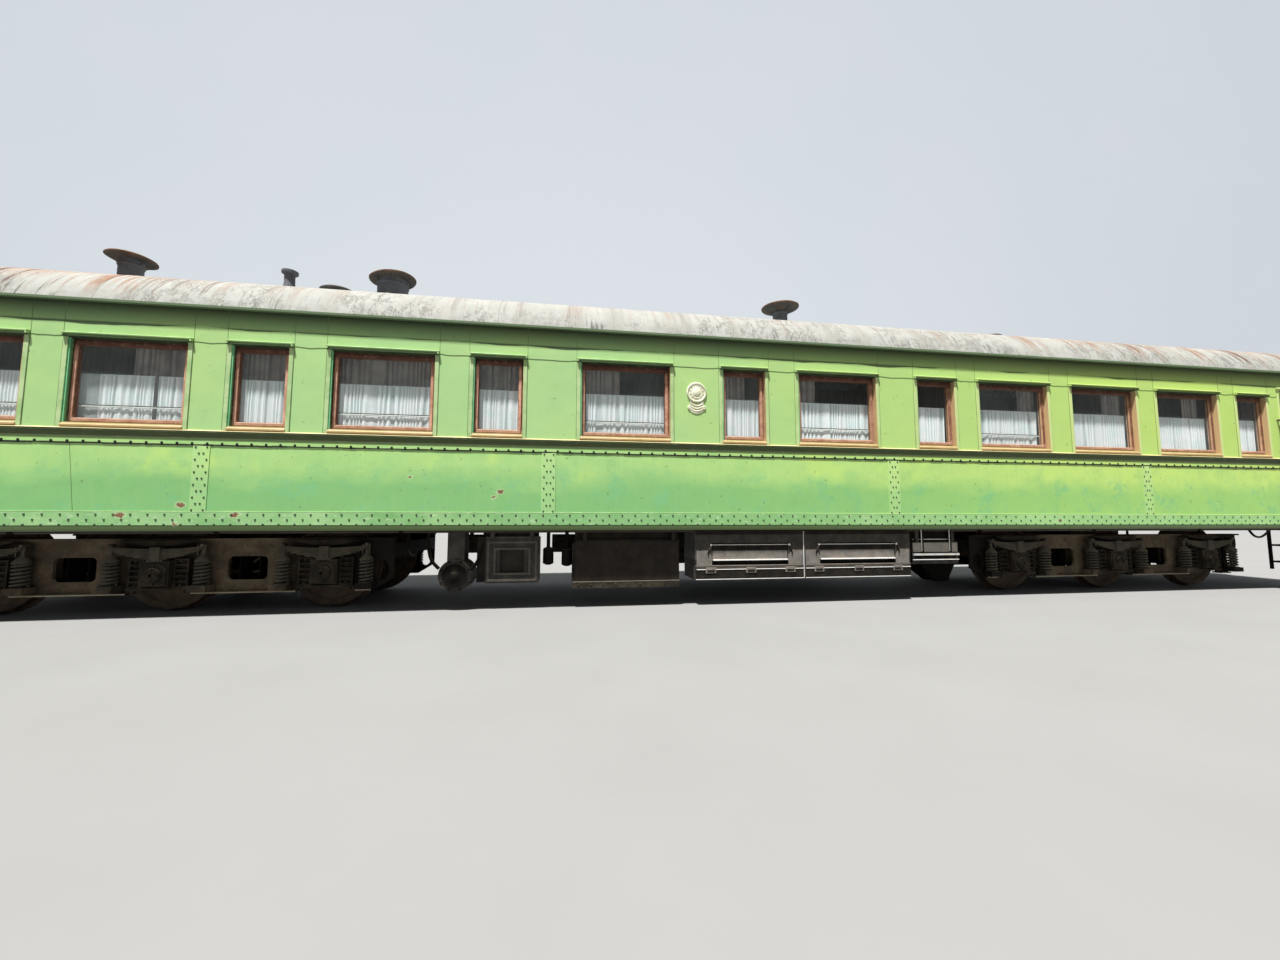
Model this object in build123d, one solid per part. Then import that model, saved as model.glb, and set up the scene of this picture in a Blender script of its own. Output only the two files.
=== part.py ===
from build123d import *
import os

os.makedirs("parts", exist_ok=True)

# Driving sizes in millimetres. +X runs along the coach, -Y is the side with the plaque, Z 0 is
# the lowest point of the wheel flanges, and X 0 lies midway between the two bogie pivots.
RAIL_TOP = 28
BODY_LENGTH = 21300
BODY_WIDTH = 3100
WALL = 110
END_WALL = 60
SOLE_BOTTOM = RAIL_TOP + 965
FLOOR_TOP = RAIL_TOP + 1300
FLOOR_THICK = 100
EAVE = RAIL_TOP + 3532
CROWN = RAIL_TOP + 4300
ROOF_THICK = 66
BOGIE_X = 6800
AXLE_PITCH = 1830
WHEEL_R = 525

HALF_L = BODY_LENGTH / 2
HALF_W = BODY_WIDTH / 2
INNER_L = HALF_L - END_WALL
INNER_W = HALF_W - WALL
SIDES = (-1, 1)

# Windows: centre along X, width of the opening. All share one sill and one head.
WIDE = 1180
NARROW = 610
WINDOW_SILL = RAIL_TOP + 2160
WINDOW_HEAD = RAIL_TOP + 3120
WINDOWS = (
    (-8500, WIDE),
    (-6911, WIDE),
    (-5573, NARROW),
    (-4225, WIDE),
    (-2878, NARROW),
    (-1266, WIDE),
    (346, NARROW),
    (1717, WIDE),
    (3255, NARROW),
    (4555, WIDE),
    (6166, WIDE),
    (7746, WIDE),
    (9037, NARROW),
)
FRAME_BAR = 65
FRAME_DEPTH = 45
FRAME_RECESS = 60
GLASS_THICK = 8
CURTAIN_THICK = 24
CURTAIN_TOP = RAIL_TOP + 2745
CURTAIN_BOTTOM = WINDOW_SILL + 12

# Heavy drapes left hanging behind the net curtains of the -Y side: low X, high X.
DRAPES = (
    (-6980, -6330),
    (-5868, -5278),
    (-4805, -3645),
    (-3173, -2583),
    (-1846, -1330),
    (51, 420),
    (1137, 1470),
    (4800, 5100),
    (6350, 6700),
    (7900, 8200),
)
DRAPE_GAP = 56

# Cover straps over the joints of the lower panels: centre along X.
STRAPS = (-6110, -2240, 2535, 6850)
STRAP_WIDTH = 170
STRAP_THICK = 7
BAND_BOTTOM = RAIL_TOP + 1032
BAND_TOP = RAIL_TOP + 1188
LEDGE_TOP = RAIL_TOP + 2104
STRAP_TOP = LEDGE_TOP - 160

# Vestibule doors and the end doors.
DOOR_X = 9970
DOOR_WIDTH = 700
DOOR_HEAD = FLOOR_TOP + 1960
DOOR_THICK = 45
DOOR_GAP = 8
DOOR_GLASS_W = 400
DOOR_GLASS_H = 720
PIN_R = 12
PIN_INSET = 18
KNUCKLE = 60
HINGE_Z = (FLOOR_TOP + 250, FLOOR_TOP + 950, FLOOR_TOP + 1650)
BULKHEAD_X = 9430

# Underframe.
FRAME_LOW = 1000
SOLE_BAR_W = 60
CENTRE_SILL_W = 560
BOLSTER_LOW = 1112
BEAM_OUT = 110
BUFFER_Y = 875
BUFFER_Z = RAIL_TOP + 1060
BUFFER_FACE = HALF_L + 600


def block(x0, x1, y0, y1, z0, z1):
    """Box between two corners."""
    return Pos((x0 + x1) / 2, (y0 + y1) / 2, (z0 + z1) / 2) * Box(x1 - x0, y1 - y0, z1 - z0)


def side_block(x0, x1, out0, out1, z0, z1, side):
    """Box on one side of the coach, from distance out0 to out1 from the centre plane."""
    low, high = sorted((side * out0, side * out1))
    return block(x0, x1, low, high, z0, z1)


def rod_x(x0, x1, y, z, radius):
    return Pos((x0 + x1) / 2, y, z) * Rot(0, 90, 0) * Cylinder(radius, abs(x1 - x0))


def rod_y(x, y0, y1, z, radius):
    return Pos(x, (y0 + y1) / 2, z) * Rot(90, 0, 0) * Cylinder(radius, abs(y1 - y0))


def rod_z(x, y, z0, z1, radius):
    return Pos(x, y, (z0 + z1) / 2) * Cylinder(radius, z1 - z0)


def plate_xz(points, y0, y1):
    """Flat outline given as (x, z) points, from y0 to y1."""
    face = Plane.XZ * make_face(Polyline(*points, close=True))
    return Pos(0, max(y0, y1), 0) * extrude(face, abs(y1 - y0))


def save(node, shapes):
    """Write one sub-part; its solids keep apart unless they were fused before."""
    solids = [solid for shape in shapes for solid in shape.solids()]
    body = solids[0] if len(solids) == 1 else Compound(children=solids)
    body.label = node
    export_step(body, "parts/" + node + ".step")


def roof_section(half_width, foot_z, shoulder_y, shoulder_z, bulge, crown_z):
    """Roof outline: steep shoulder arcs at both sides and one flat crown arc between them."""
    mid_y = (half_width + shoulder_y) / 2 + bulge * 0.75
    mid_z = (foot_z + shoulder_z) / 2 + bulge * 0.66
    outline = [
        Line((-half_width, foot_z), (half_width, foot_z)),
        ThreePointArc((half_width, foot_z), (mid_y, mid_z), (shoulder_y, shoulder_z)),
        ThreePointArc((shoulder_y, shoulder_z), (0, crown_z), (-shoulder_y, shoulder_z)),
        ThreePointArc((-shoulder_y, shoulder_z), (-mid_y, mid_z), (-half_width, foot_z)),
    ]
    return Plane.YZ * make_face(outline)


ROOF_HALF = HALF_W + 62
ROOF_OUT = roof_section(ROOF_HALF, EAVE, 1150, CROWN - 250, 75, CROWN)
ROOF_IN = roof_section(INNER_W, EAVE, 1090, CROWN - 305, 60, CROWN - ROOF_THICK)


def side_wall(side):
    """Side wall with its openings, sill ledge, hoods, cover straps and sole band."""
    turn_in = 35
    section = Polyline(
        (side * HALF_W, EAVE),
        (side * HALF_W, BAND_BOTTOM),
        (side * (HALF_W - turn_in), SOLE_BOTTOM),
        (side * INNER_W, SOLE_BOTTOM),
        (side * INNER_W, EAVE),
        close=True,
    )
    wall = Pos(-INNER_L, 0, 0) * extrude(Plane.YZ * make_face(section), 2 * INNER_L)
    band = side_block(-INNER_L, INNER_L, HALF_W, HALF_W + 8, BAND_BOTTOM, BAND_TOP, side)
    ledge_section = Polyline(
        (side * HALF_W, LEDGE_TOP + 8),
        (side * (HALF_W + 30), LEDGE_TOP - 6),
        (side * (HALF_W + 30), LEDGE_TOP - 26),
        (side * (HALF_W + 12), LEDGE_TOP - 34),
        (side * (HALF_W + 12), LEDGE_TOP - 100),
        (side * (HALF_W + 6), LEDGE_TOP - 104),
        (side * (HALF_W + 6), STRAP_TOP + 2),
        (side * HALF_W, STRAP_TOP),
        close=True,
    )
    ledge = Pos(-INNER_L, 0, 0) * extrude(Plane.YZ * make_face(ledge_section), 2 * INNER_L)
    straps = [
        side_block(x - STRAP_WIDTH / 2, x + STRAP_WIDTH / 2, HALF_W, HALF_W + STRAP_THICK,
                   BAND_TOP, STRAP_TOP, side)
        for x in STRAPS
    ]
    hoods = [window_hood(x, width, side) for x, width in WINDOWS]
    openings = [
        side_block(x - width / 2, x + width / 2, INNER_W - 10, HALF_W + 10,
                   WINDOW_SILL, WINDOW_HEAD, side)
        for x, width in WINDOWS
    ]
    doorways = [
        side_block(end * DOOR_X - DOOR_WIDTH / 2, end * DOOR_X + DOOR_WIDTH / 2,
                   INNER_W - 10, HALF_W + 60, SOLE_BOTTOM - 10, DOOR_HEAD, side)
        for end in (-1, 1)
    ]
    shell = wall + [band, ledge] + straps + hoods
    shell = shell - openings - doorways
    for end in (-1, 1):
        pin_x, pin_y = side_hinge(end, side)
        plate_x = sorted((pin_x, pin_x - end * 60))
        for z in HINGE_Z:
            shell += rod_z(pin_x, pin_y, z - KNUCKLE - 0.5, z - 0.5, PIN_R)
            shell += side_block(*plate_x, INNER_W - 10, INNER_W, z - KNUCKLE - 0.5, z - 0.5, side)
    return shell


def window_hood(x, width, side):
    """Rain hood over a window, with its ends turned down."""
    half = width / 2 + 45
    low, high = WINDOW_HEAD + 8, WINDOW_HEAD + 44
    bar, end = 14, 16
    points = (
        (x - half, low),
        (x - half, high),
        (x + half, high),
        (x + half, low),
        (x + half - end, low),
        (x + half - end, high - bar),
        (x - half + end, high - bar),
        (x - half + end, low),
    )
    return plate_xz(points, side * HALF_W, side * (HALF_W + 40))


def end_wall(end):
    """End wall up to the inside of the roof, with the gangway doorway."""
    x0, x1 = sorted((end * INNER_L, end * HALF_L))
    wall = block(x0, x1, -HALF_W, HALF_W, SOLE_BOTTOM, EAVE)
    gable = Pos(x0, 0, 0) * extrude(ROOF_IN, x1 - x0)
    doorway = block(x0 - 5, x1 + 5, -DOOR_WIDTH / 2, DOOR_WIDTH / 2, FLOOR_TOP, DOOR_HEAD)
    frame_gap = block(x0 - 5, x1 + 5, -INNER_W, INNER_W, SOLE_BOTTOM - 5, FLOOR_TOP - FLOOR_THICK)
    shell = wall + gable - doorway - frame_gap
    pin_x, pin_y = end_hinge(end)
    flat = sorted((end * INNER_L, end * (INNER_L - 10)))
    for z in HINGE_Z:
        shell += rod_z(pin_x, pin_y, z - KNUCKLE - 0.5, z - 0.5, PIN_R)
        shell += block(*flat, pin_y - 60, pin_y, z - KNUCKLE - 0.5, z - 0.5)
    return shell


def roof():
    """Roof shell with a drip strip along each eave."""
    overhang = 30
    length = BODY_LENGTH + 2 * overhang
    shell = extrude(ROOF_OUT, length) - extrude(ROOF_IN, length)
    shell = Pos(-length / 2, 0, 0) * shell
    drips = [
        side_block(-length / 2, length / 2, ROOF_HALF - 12, ROOF_HALF + 10, EAVE - 8, EAVE + 18, side)
        for side in SIDES
    ]
    return shell + drips


# Ventilators on the roof's centre line: X, stem radius, cap radius, height of the top, and the
# lean of the cap towards -Y and towards +X in degrees.
MUSHROOMS = (
    (-8210, 135, 275, 4930, 0, 3),
    (-4700, 215, 325, 4905, 0, 0),
    (1630, 150, 330, 4905, 6, -8),
)
# Low domes: X, radius, height of the top.
LOW_DOMES = (
    (-5470, 245, 4615),
    (5790, 200, 4590),
)
# Chimney: X, neck radius, foot radius, cap radius, height of the top.
CHIMNEY = (-6150, 70, 135, 108, 4835)
FITTING_FOOT = CROWN - 40


def turned(points):
    """Turned form about Z from (radius, z) points."""
    return revolve(Plane.XZ * make_face(Polyline(*points, close=True)), Axis.Z)


def seat_on_roof(form):
    """Trim the foot of a roof fitting to the curve of the crown."""
    reach = 500
    return form - Pos(-reach, 0, 0) * extrude(ROOF_OUT, 2 * reach)


def mushroom(x, stem, cap, top, lean_near, lean_front):
    """Ventilator: flanged stem under a shallow conical cap with a funnel-shaped underside."""
    rise = 95
    rim = top - rise
    post = turned((
        (0, FITTING_FOOT),
        (stem + 45, FITTING_FOOT),
        (stem + 45, CROWN + 28),
        (stem, CROWN + 48),
        (stem, rim - 40),
        (0, rim - 40),
    ))
    hat = turned((
        (0, -rise),
        (stem, -rise),
        (cap, -15),
        (cap, 15),
        (0, rise),
    ))
    hat = Pos(0, 0, rim) * Rot(lean_near, lean_front, 0) * hat
    return Pos(x, 0, 0) * seat_on_roof(post + hat)


def low_dome(x, radius, top):
    """Low ventilator: short drum under a flat cone."""
    drum = radius * 0.8
    points = (
        (0, FITTING_FOOT),
        (drum, FITTING_FOOT),
        (drum, top - 110),
        (radius, top - 90),
        (radius, top - 60),
        (0, top),
    )
    return Pos(x, 0, 0) * seat_on_roof(turned(points))


def chimney(x, neck, foot, cap, top):
    """Chimney: its foot runs up in a hollow curve to a slim neck under a flat cap."""
    waist = top - 190
    flare = ThreePointArc(
        (foot, CROWN + 20),
        (neck + (foot - neck) * 0.25, (CROWN + waist) / 2),
        (neck, waist),
    )
    foot_line = Polyline((0, FITTING_FOOT), (foot, FITTING_FOOT), (foot, CROWN + 20))
    top_line = Polyline(
        (neck, waist),
        (neck, top - 62),
        (cap, top - 50),
        (cap, top - 12),
        (0, top),
        (0, FITTING_FOOT),
    )
    form = revolve(Plane.XZ * make_face([foot_line, flare, top_line]), Axis.Z)
    return Pos(x, 0, 0) * seat_on_roof(form)


def window_pieces(x, width, side):
    """Frame, pane and curtain of one window."""
    out1 = HALF_W - FRAME_RECESS
    out0 = out1 - FRAME_DEPTH
    frame = side_block(x - width / 2, x + width / 2, out0, out1, WINDOW_SILL, WINDOW_HEAD, side)
    light = (x - width / 2 + FRAME_BAR, x + width / 2 - FRAME_BAR)
    low, high = WINDOW_SILL + FRAME_BAR, WINDOW_HEAD - FRAME_BAR
    frame -= side_block(*light, out0 - 5, out1 + 5, low, high, side)
    mid = (out0 + out1) / 2
    pane = side_block(*light, mid - GLASS_THICK / 2, mid + GLASS_THICK / 2, low, high, side)
    hang = INNER_W - 15
    curtain = side_block(x - width / 2 + 20, x + width / 2 - 20, hang - CURTAIN_THICK, hang,
                         CURTAIN_BOTTOM, CURTAIN_TOP, side)
    return frame, pane, curtain


def drapes():
    """Drapes from above the window head down to the sill, in front of the inner wall face."""
    out = INNER_W - DRAPE_GAP
    return [
        side_block(x0, x1, out - CURTAIN_THICK, out, CURTAIN_BOTTOM, WINDOW_HEAD + 60, -1)
        for x0, x1 in DRAPES
    ]


# Inner walls: X of each cross wall between the rooms.
CROSS_WALLS = (-7708, -5041, -2218, 731, 3765, 6960)
CORRIDOR_Y = 560
PARTITION = 40


def inner_walls():
    """Vestibule bulkheads, the corridor wall and the cross walls between the rooms."""
    top = EAVE
    door = (FLOOR_TOP, DOOR_HEAD)
    bulkheads = []
    for end in (-1, 1):
        x0, x1 = sorted((end * BULKHEAD_X, end * (BULKHEAD_X - 60)))
        wall = block(x0, x1, -INNER_W, INNER_W, FLOOR_TOP, top)
        bulkheads.append(wall - block(x0 - 5, x1 + 5, 700, 1300, *door))
    ends = BULKHEAD_X - 60
    corridor = block(-ends, ends, CORRIDOR_Y, CORRIDOR_Y + PARTITION, FLOOR_TOP, top)
    cross = []
    for x in CROSS_WALLS:
        wall = block(x - PARTITION / 2, x + PARTITION / 2, -INNER_W, CORRIDOR_Y, FLOOR_TOP, top)
        cross.append(wall)
    doors = [
        block(x + 250, x + 900, CORRIDOR_Y - 5, CORRIDOR_Y + PARTITION + 5, *door)
        for x in (-ends, *CROSS_WALLS)
    ]
    return bulkheads[0] + [bulkheads[1], corridor] + cross - doors


def side_door(end, side):
    """Vestibule door leaf and pane, hinged on its inboard edge, with the knuckles on the leaf."""
    x0 = end * DOOR_X - DOOR_WIDTH / 2 + DOOR_GAP
    x1 = end * DOOR_X + DOOR_WIDTH / 2 - DOOR_GAP
    low, high = FLOOR_TOP + DOOR_GAP, DOOR_HEAD - DOOR_GAP
    out0, out1 = INNER_W, INNER_W + DOOR_THICK
    leaf = side_block(x0, x1, out0, out1, low, high, side)
    mid = (x0 + x1) / 2
    glass = (mid - DOOR_GLASS_W / 2, mid + DOOR_GLASS_W / 2)
    glass_z = (high - 230 - DOOR_GLASS_H, high - 230)
    leaf -= side_block(*glass, out0 - 5, out1 + 5, *glass_z, side)
    leaf -= side_block(*glass, out1 - 8, out1 + 5, low + 180, low + 760, side)
    pin_x, pin_y = side_hinge(end, side)
    plate_x = sorted((pin_x, pin_x + end * 60))
    for z in HINGE_Z:
        leaf += rod_z(pin_x, pin_y, z, z + KNUCKLE, PIN_R)
        leaf += side_block(*plate_x, INNER_W - 10, INNER_W, z, z + KNUCKLE, side)
    leaf += rod_y(x1 - 60 if end > 0 else x0 + 60, side * out1, side * (out1 + 60), low + 950, 14)
    pane_mid = (out0 + out1) / 2
    pane = side_block(*glass, pane_mid - 3, pane_mid + 3, *glass_z, side)
    return leaf, pane


def side_hinge(end, side):
    """Pin of a vestibule door: at its inboard edge, just inside the wall."""
    return end * (DOOR_X - DOOR_WIDTH / 2 + DOOR_GAP), side * (INNER_W - PIN_INSET)


def end_hinge(end):
    """Pin of an end door: at its -Y edge, just inside the end wall."""
    return end * (INNER_L - PIN_INSET), -(DOOR_WIDTH / 2 - DOOR_GAP)


def end_door(end):
    """End door leaf and pane, hinged at its -Y edge and opening into the vestibule."""
    low, high = FLOOR_TOP + DOOR_GAP, DOOR_HEAD - DOOR_GAP
    half = DOOR_WIDTH / 2 - DOOR_GAP
    x0, x1 = sorted((end * INNER_L, end * (INNER_L + DOOR_THICK)))
    leaf = block(x0, x1, -half, half, low, high)
    glass_z = (high - 230 - DOOR_GLASS_H, high - 230)
    glass = (-DOOR_GLASS_W / 2, DOOR_GLASS_W / 2)
    leaf -= block(x0 - 5, x1 + 5, *glass, *glass_z)
    pin_x, pin_y = end_hinge(end)
    flat = sorted((end * INNER_L, end * (INNER_L - 10)))
    for z in HINGE_Z:
        leaf += rod_z(pin_x, pin_y, z, z + KNUCKLE, PIN_R)
        leaf += block(*flat, pin_y, pin_y + 60, z, z + KNUCKLE)
    mid = (x0 + x1) / 2
    pane = block(mid - 3, mid + 3, *glass, *glass_z)
    return leaf, pane


def underframe():
    """Sole bars, centre sill, cross-bearers, body bolsters with centre plates, buffer beams."""
    top = FLOOR_TOP - FLOOR_THICK
    pieces = []
    for side in SIDES:
        pieces.append(side_block(-HALF_L, HALF_L, INNER_W - SOLE_BAR_W, INNER_W, FRAME_LOW, top, side))
    sill = block(-HALF_L, HALF_L, -CENTRE_SILL_W / 2, CENTRE_SILL_W / 2, FRAME_LOW, top)
    for x in CROSS_BEARERS:
        pieces.append(block(x - 60, x + 60, -INNER_W + 5, INNER_W - 5, FRAME_LOW, top))
    for end in (-1, 1):
        pivot = end * BOGIE_X
        pieces.append(block(pivot - 260, pivot + 260, -INNER_W + 5, INNER_W - 5, BOLSTER_LOW, top))
        pieces.append(rod_z(pivot, 0, CENTRE_PLATE_Z, FRAME_LOW, 190))
        x0, x1 = sorted((end * HALF_L, end * (HALF_L + BEAM_OUT)))
        pieces.append(block(x0, x1, -INNER_W, INNER_W, FRAME_LOW, top))
    return sill + pieces


CROSS_BEARERS = (-3900, -2140, -410, 1200, 2850, 4100)
CENTRE_PLATE_Z = 990


def buffers():
    """Four buffers: tapered casing, plunger and round head."""
    made = []
    for end in (-1, 1):
        for side in SIDES:
            foot = HALF_L + BEAM_OUT
            points = (
                (0, 0),
                (150, 0),
                (150, 25),
                (105, 45),
                (90, 300),
                (60, 300),
                (60, BUFFER_FACE - foot - 30),
                (225, BUFFER_FACE - foot - 30),
                (225, BUFFER_FACE - foot),
                (0, BUFFER_FACE - foot),
            )
            form = Rot(0, 90 * end, 0) * turned(points)
            made.append(Pos(end * foot, side * BUFFER_Y, BUFFER_Z) * form)
    return made


def coupler(end):
    """Automatic coupler: square shank and a head with one large and one small claw."""
    foot = HALF_L + BEAM_OUT
    head = (
        (210, -150),
        (300, -215),
        (490, -215),
        (490, -150),
        (350, -95),
        (335, 60),
        (420, 75),
        (420, 190),
        (280, 190),
        (210, 120),
    )
    form = extrude(make_face(Polyline(*head, close=True)), 280)
    form = Pos(0, 0, -140) * form
    form += block(0, 220, -75, 75, -85, 85)
    form += block(0, 40, -170, 170, -130, 130)
    turn = 0 if end > 0 else 180
    return Pos(end * foot, 0, BUFFER_Z) * Rot(0, 0, turn) * form


def gangway(end):
    """Folded gangway: pleats round the doorway and a face frame at their outer end."""
    # distance from the end wall, thickness, half width, height over the doorway head
    pleats = (
        (0, 40, 560, 210),
        (80, 30, 560, 210),
        (150, 30, 560, 210),
        (220, 50, 590, 240),
    )
    form = None
    for start, thick, half, over in pleats:
        ring = gangway_ring(start, thick, half, DOOR_HEAD + over)
        form = ring if form is None else form + ring
    form += gangway_ring(0, 270, 500, DOOR_HEAD + 150)
    turn = 0 if end > 0 else 180
    return Rot(0, 0, turn) * Pos(HALF_L, 0, 0) * form


def gangway_ring(start, thick, half, top):
    """One inverted U round the doorway."""
    inside = DOOR_WIDTH / 2 + 60
    ring = block(start, start + thick, -half, half, FLOOR_TOP - 60, top)
    return ring - block(start - 5, start + thick + 5, -inside, inside, FLOOR_TOP - 80, DOOR_HEAD + 60)


FALL_X = HALF_L + 30
FALL_Z = FLOOR_TOP - 30
FALL_REACH = 420


def fall_plate(end):
    """Hinged bridge plate at the gangway floor, with its hinge barrel."""
    half = DOOR_WIDTH / 2 + 30
    x0, x1 = sorted((end * FALL_X, end * (FALL_X + FALL_REACH)))
    plate = block(x0, x1, -half, half, FALL_Z - 4, FALL_Z + 8)
    return plate + rod_y(end * FALL_X, -half, half, FALL_Z, 12)


def fall_brackets():
    """Brackets that carry the bridge plate's hinge, one at each end of its barrel."""
    made = []
    for end in (-1, 1):
        x0, x1 = sorted((end * HALF_L, end * (FALL_X + 20)))
        for side in SIDES:
            made.append(side_block(x0, x1, 386, 400, FALL_Z - 40, FALL_Z + 30, side))
    return made


# Treads of the door steps: height, distance of the outer edge from the centre plane.
TREADS = (
    (430, 1540),
    (700, 1520),
    (968, 1500),
)
TREAD_IN = 1330
TREAD_THICK = 32
HANGER = 45
HANGER_THICK = 12


def door_steps():
    """Steps below each vestibule door: three treads between slim flat hangers."""
    made = []
    for end in (-1, 1):
        for side in SIDES:
            x0 = end * DOOR_X - DOOR_WIDTH / 2
            x1 = end * DOOR_X + DOOR_WIDTH / 2
            stair = side_block(x0, x1, TREAD_IN, TREADS[0][1], TREADS[0][0],
                               TREADS[0][0] + TREAD_THICK, side)
            for z, out in TREADS[1:]:
                stair += side_block(x0, x1, TREAD_IN, out, z, z + TREAD_THICK, side)
            for x in (x0, x1 - HANGER_THICK):
                edge = (x, x + HANGER_THICK)
                stair += side_block(*edge, 1255, 1255 + HANGER, 320, FRAME_LOW, side)
                stair += side_block(*edge, 1500 - HANGER, 1500, TREADS[0][0], FRAME_LOW, side)
                for z, out in TREADS:
                    stair += side_block(*edge, 1280, TREAD_IN + 10, z, z + TREAD_THICK, side)
            made.append(stair)
    return made


def handrails():
    """Vertical grab rail at each side of each vestibule door."""
    made = []
    for end in (-1, 1):
        for side in SIDES:
            for edge in (-1, 1):
                x = end * DOOR_X + edge * (DOOR_WIDTH / 2 + 70)
                y = side * (HALF_W + 55)
                rail = rod_z(x, y, 1500, 2780, 15)
                for z in (1500, 2750):
                    rail += side_block(x - 15, x + 15, HALF_W, HALF_W + 58, z, z + 30, side)
                made.append(rail)
    return made


# Boxes hung under the -Y side: distances of their faces from the centre plane.
BOX_OUT = 1345
BOX_IN = 880
HOPPER_OUT = 1400
FLOOR_UNDER = FLOOR_TOP - FLOOR_THICK


def box_hangers(x0, x1, low, side):
    """Straps that hang a box: two from the sole bar and two from the floor's underside."""
    straps = []
    for x in (x0 + 60, x1 - 110):
        straps.append(side_block(x, x + 50, 1300, 1400, low, FRAME_LOW, side))
        straps.append(side_block(x, x + 50, BOX_IN + 70, BOX_IN + 120, low, FLOOR_UNDER, side))
    return straps


def recess_box():
    """Box with a framed recess in its outer face."""
    x0, x1, low, high = -3010, -2355, 332, 898
    box = side_block(x0, x1, BOX_IN, BOX_OUT, low, high, -1)
    box -= side_block(-2830, -2540, BOX_OUT - 30, BOX_OUT + 5, 434, 772, -1)
    return box + box_hangers(x0, x1, high - 8, -1)


def plain_box():
    """Large box with a chamfered upper corner and a toe strip."""
    x0, x1, low, high = -1930, -520, 268, 868
    chamfer = 70
    points = (
        (x0, low),
        (x1, low),
        (x1, high),
        (x0 + chamfer, high),
        (x0, high - chamfer),
    )
    box = plate_xz(points, -BOX_OUT, -BOX_IN)
    box += side_block(x0, x1, BOX_IN, BOX_OUT + 17, low - 20, low + 62, -1)
    return box + box_hangers(x0 + chamfer, x1, high - 8, -1)


def hopper_box():
    """Small box over a tapered hopper."""
    x0, x1, low, high = 2890, 3625, 499, 812
    box = side_block(x0, x1, BOX_IN + 60, HOPPER_OUT, low, high, -1)
    mouth = Plane((3300, -1175, low)) * Rectangle(560, 420)
    foot = Plane((3420, -1175, 238)) * Rectangle(200, 260)
    box += loft([mouth, foot])
    return box + box_hangers(x0, x1, high - 12, -1)


# Battery boxes: two joined bays on each side. X of the ends and of the joint between the bays.
BATTERY_X = (-330, 1204, 2810)
BATTERY_Z = (339, 978)
BATTERY_OUT = 1456
LID_Z = (588, 790)
LID_SLOT_Z = 527
LID_MARGIN = 240
LID_PIN_R = 9
RIB_Z = (468, 508)


def battery_box(side):
    """Battery box: two bays, each with a lid opening, a slot below it and two ribs."""
    x0, joint, x1 = BATTERY_X
    low, high = BATTERY_Z
    out = BATTERY_OUT
    box = side_block(x0, x1, BOX_IN, out, low, high, side)
    box += side_block(joint - 12, joint + 12, out, out + 14, low, high, side)
    box += [side_block(x0, x1, out, out + 16, z, z + 10, side) for z in RIB_Z]
    for bay in range(2):
        a, b = lid_span(bay)
        box -= side_block(a - 8, b + 8, out - 90, out + 5, LID_SLOT_Z, LID_Z[1] + 26, side)
    for x in (x0 + 200, joint - 200, joint + 200, x1 - 260):
        box += side_block(x, x + 60, 1350, 1400, high - 5, FRAME_LOW, side)
        box += side_block(x, x + 60, BOX_IN + 20, BOX_IN + 70, high - 5, FLOOR_UNDER, side)
    return box


def lid_span(bay):
    return BATTERY_X[bay] + LID_MARGIN, BATTERY_X[bay + 1] - LID_MARGIN


def battery_lid(bay, side):
    """Top-hung lid of one bay, with its hinge bar along the upper edge."""
    a, b = lid_span(bay)
    out = BATTERY_OUT
    lid = side_block(a, b, out - 22, out - 8, *LID_Z, side)
    bar = rod_x(a - 7.5, b + 7.5, side * (out - 15), LID_Z[1], LID_PIN_R)
    lip = side_block(a, b, out - 22, out + 14, LID_Z[0], LID_Z[0] + 12, side)
    return lid + bar + lip


def brake_cylinder():
    """Brake cylinder seen end-on, in its hanger under the -Y side."""
    x, z, radius = -3370, 432, 200
    tank = rod_y(x, -BOX_OUT, -960, z, radius)
    tank += rod_y(x, -BOX_OUT - 18, -BOX_OUT, z, radius * 0.8)
    for y in (-1330, -1080):
        tank += block(x - 100, x + 100, y, y + 40, z + 128, FLOOR_UNDER)
    return tank


def air_tank(x, y, length):
    """Air reservoir along the coach, in two saddles."""
    z, radius = 700, 160
    tank = rod_x(x - length / 2, x + length / 2, y, z, radius)
    for shift in (-length / 3, length / 3):
        tank += block(x + shift - 25, x + shift + 25, y - 60, y + 60, z + 120, FLOOR_UNDER)
    return tank


# Bogie, about its own pivot. Pairs named OUT are distances from the centre plane.
FRAME_TOP = RAIL_TOP + 865
FRAME_FOOT = RAIL_TOP + 204
FRAME_OUT = 990
FRAME_IN = 955
BOGIE_HALF = 2600
NOSE_X = 2360
AXLES = (-AXLE_PITCH, 0, AXLE_PITCH)
AXLE_Z = RAIL_TOP + WHEEL_R
BOX_HALF = 155
AXLEBOX_Z = (RAIL_TOP + 306, RAIL_TOP + 604)
AXLEBOX_OUT = (905, 1125)
COVER_Z = RAIL_TOP + 442
BINDER_HALF = 330
BINDER_Z = (RAIL_TOP + 254, RAIL_TOP + 284)
COLUMN_X = (160, 316)
COLUMN_TOP = RAIL_TOP + 627
POCKETS = 5
JOURNAL_R = 65
JOURNAL_END = 1080
COIL_SHIFT = 480
COIL_R = 84
COIL_GROOVE = 17
COIL_TURNS = 6
COIL_Z = (RAIL_TOP + 312, RAIL_TOP + 592)
COIL_OUT = 1085
LEAVES = 8
LEAF_THICK = 16
LEAF_HALF = 500
LEAF_RISE = 30
LEAF_LOW = RAIL_TOP + 747
LEAF_OUT = (1040, 1130)
CAP_HALF = 400
CAP_LOW = RAIL_TOP + 775
TRANSOM_X = 915
TRANSOM_HALF = 110
TRANSOM_Z = (690, 850)
BRIDGE_TOP = 930


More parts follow.
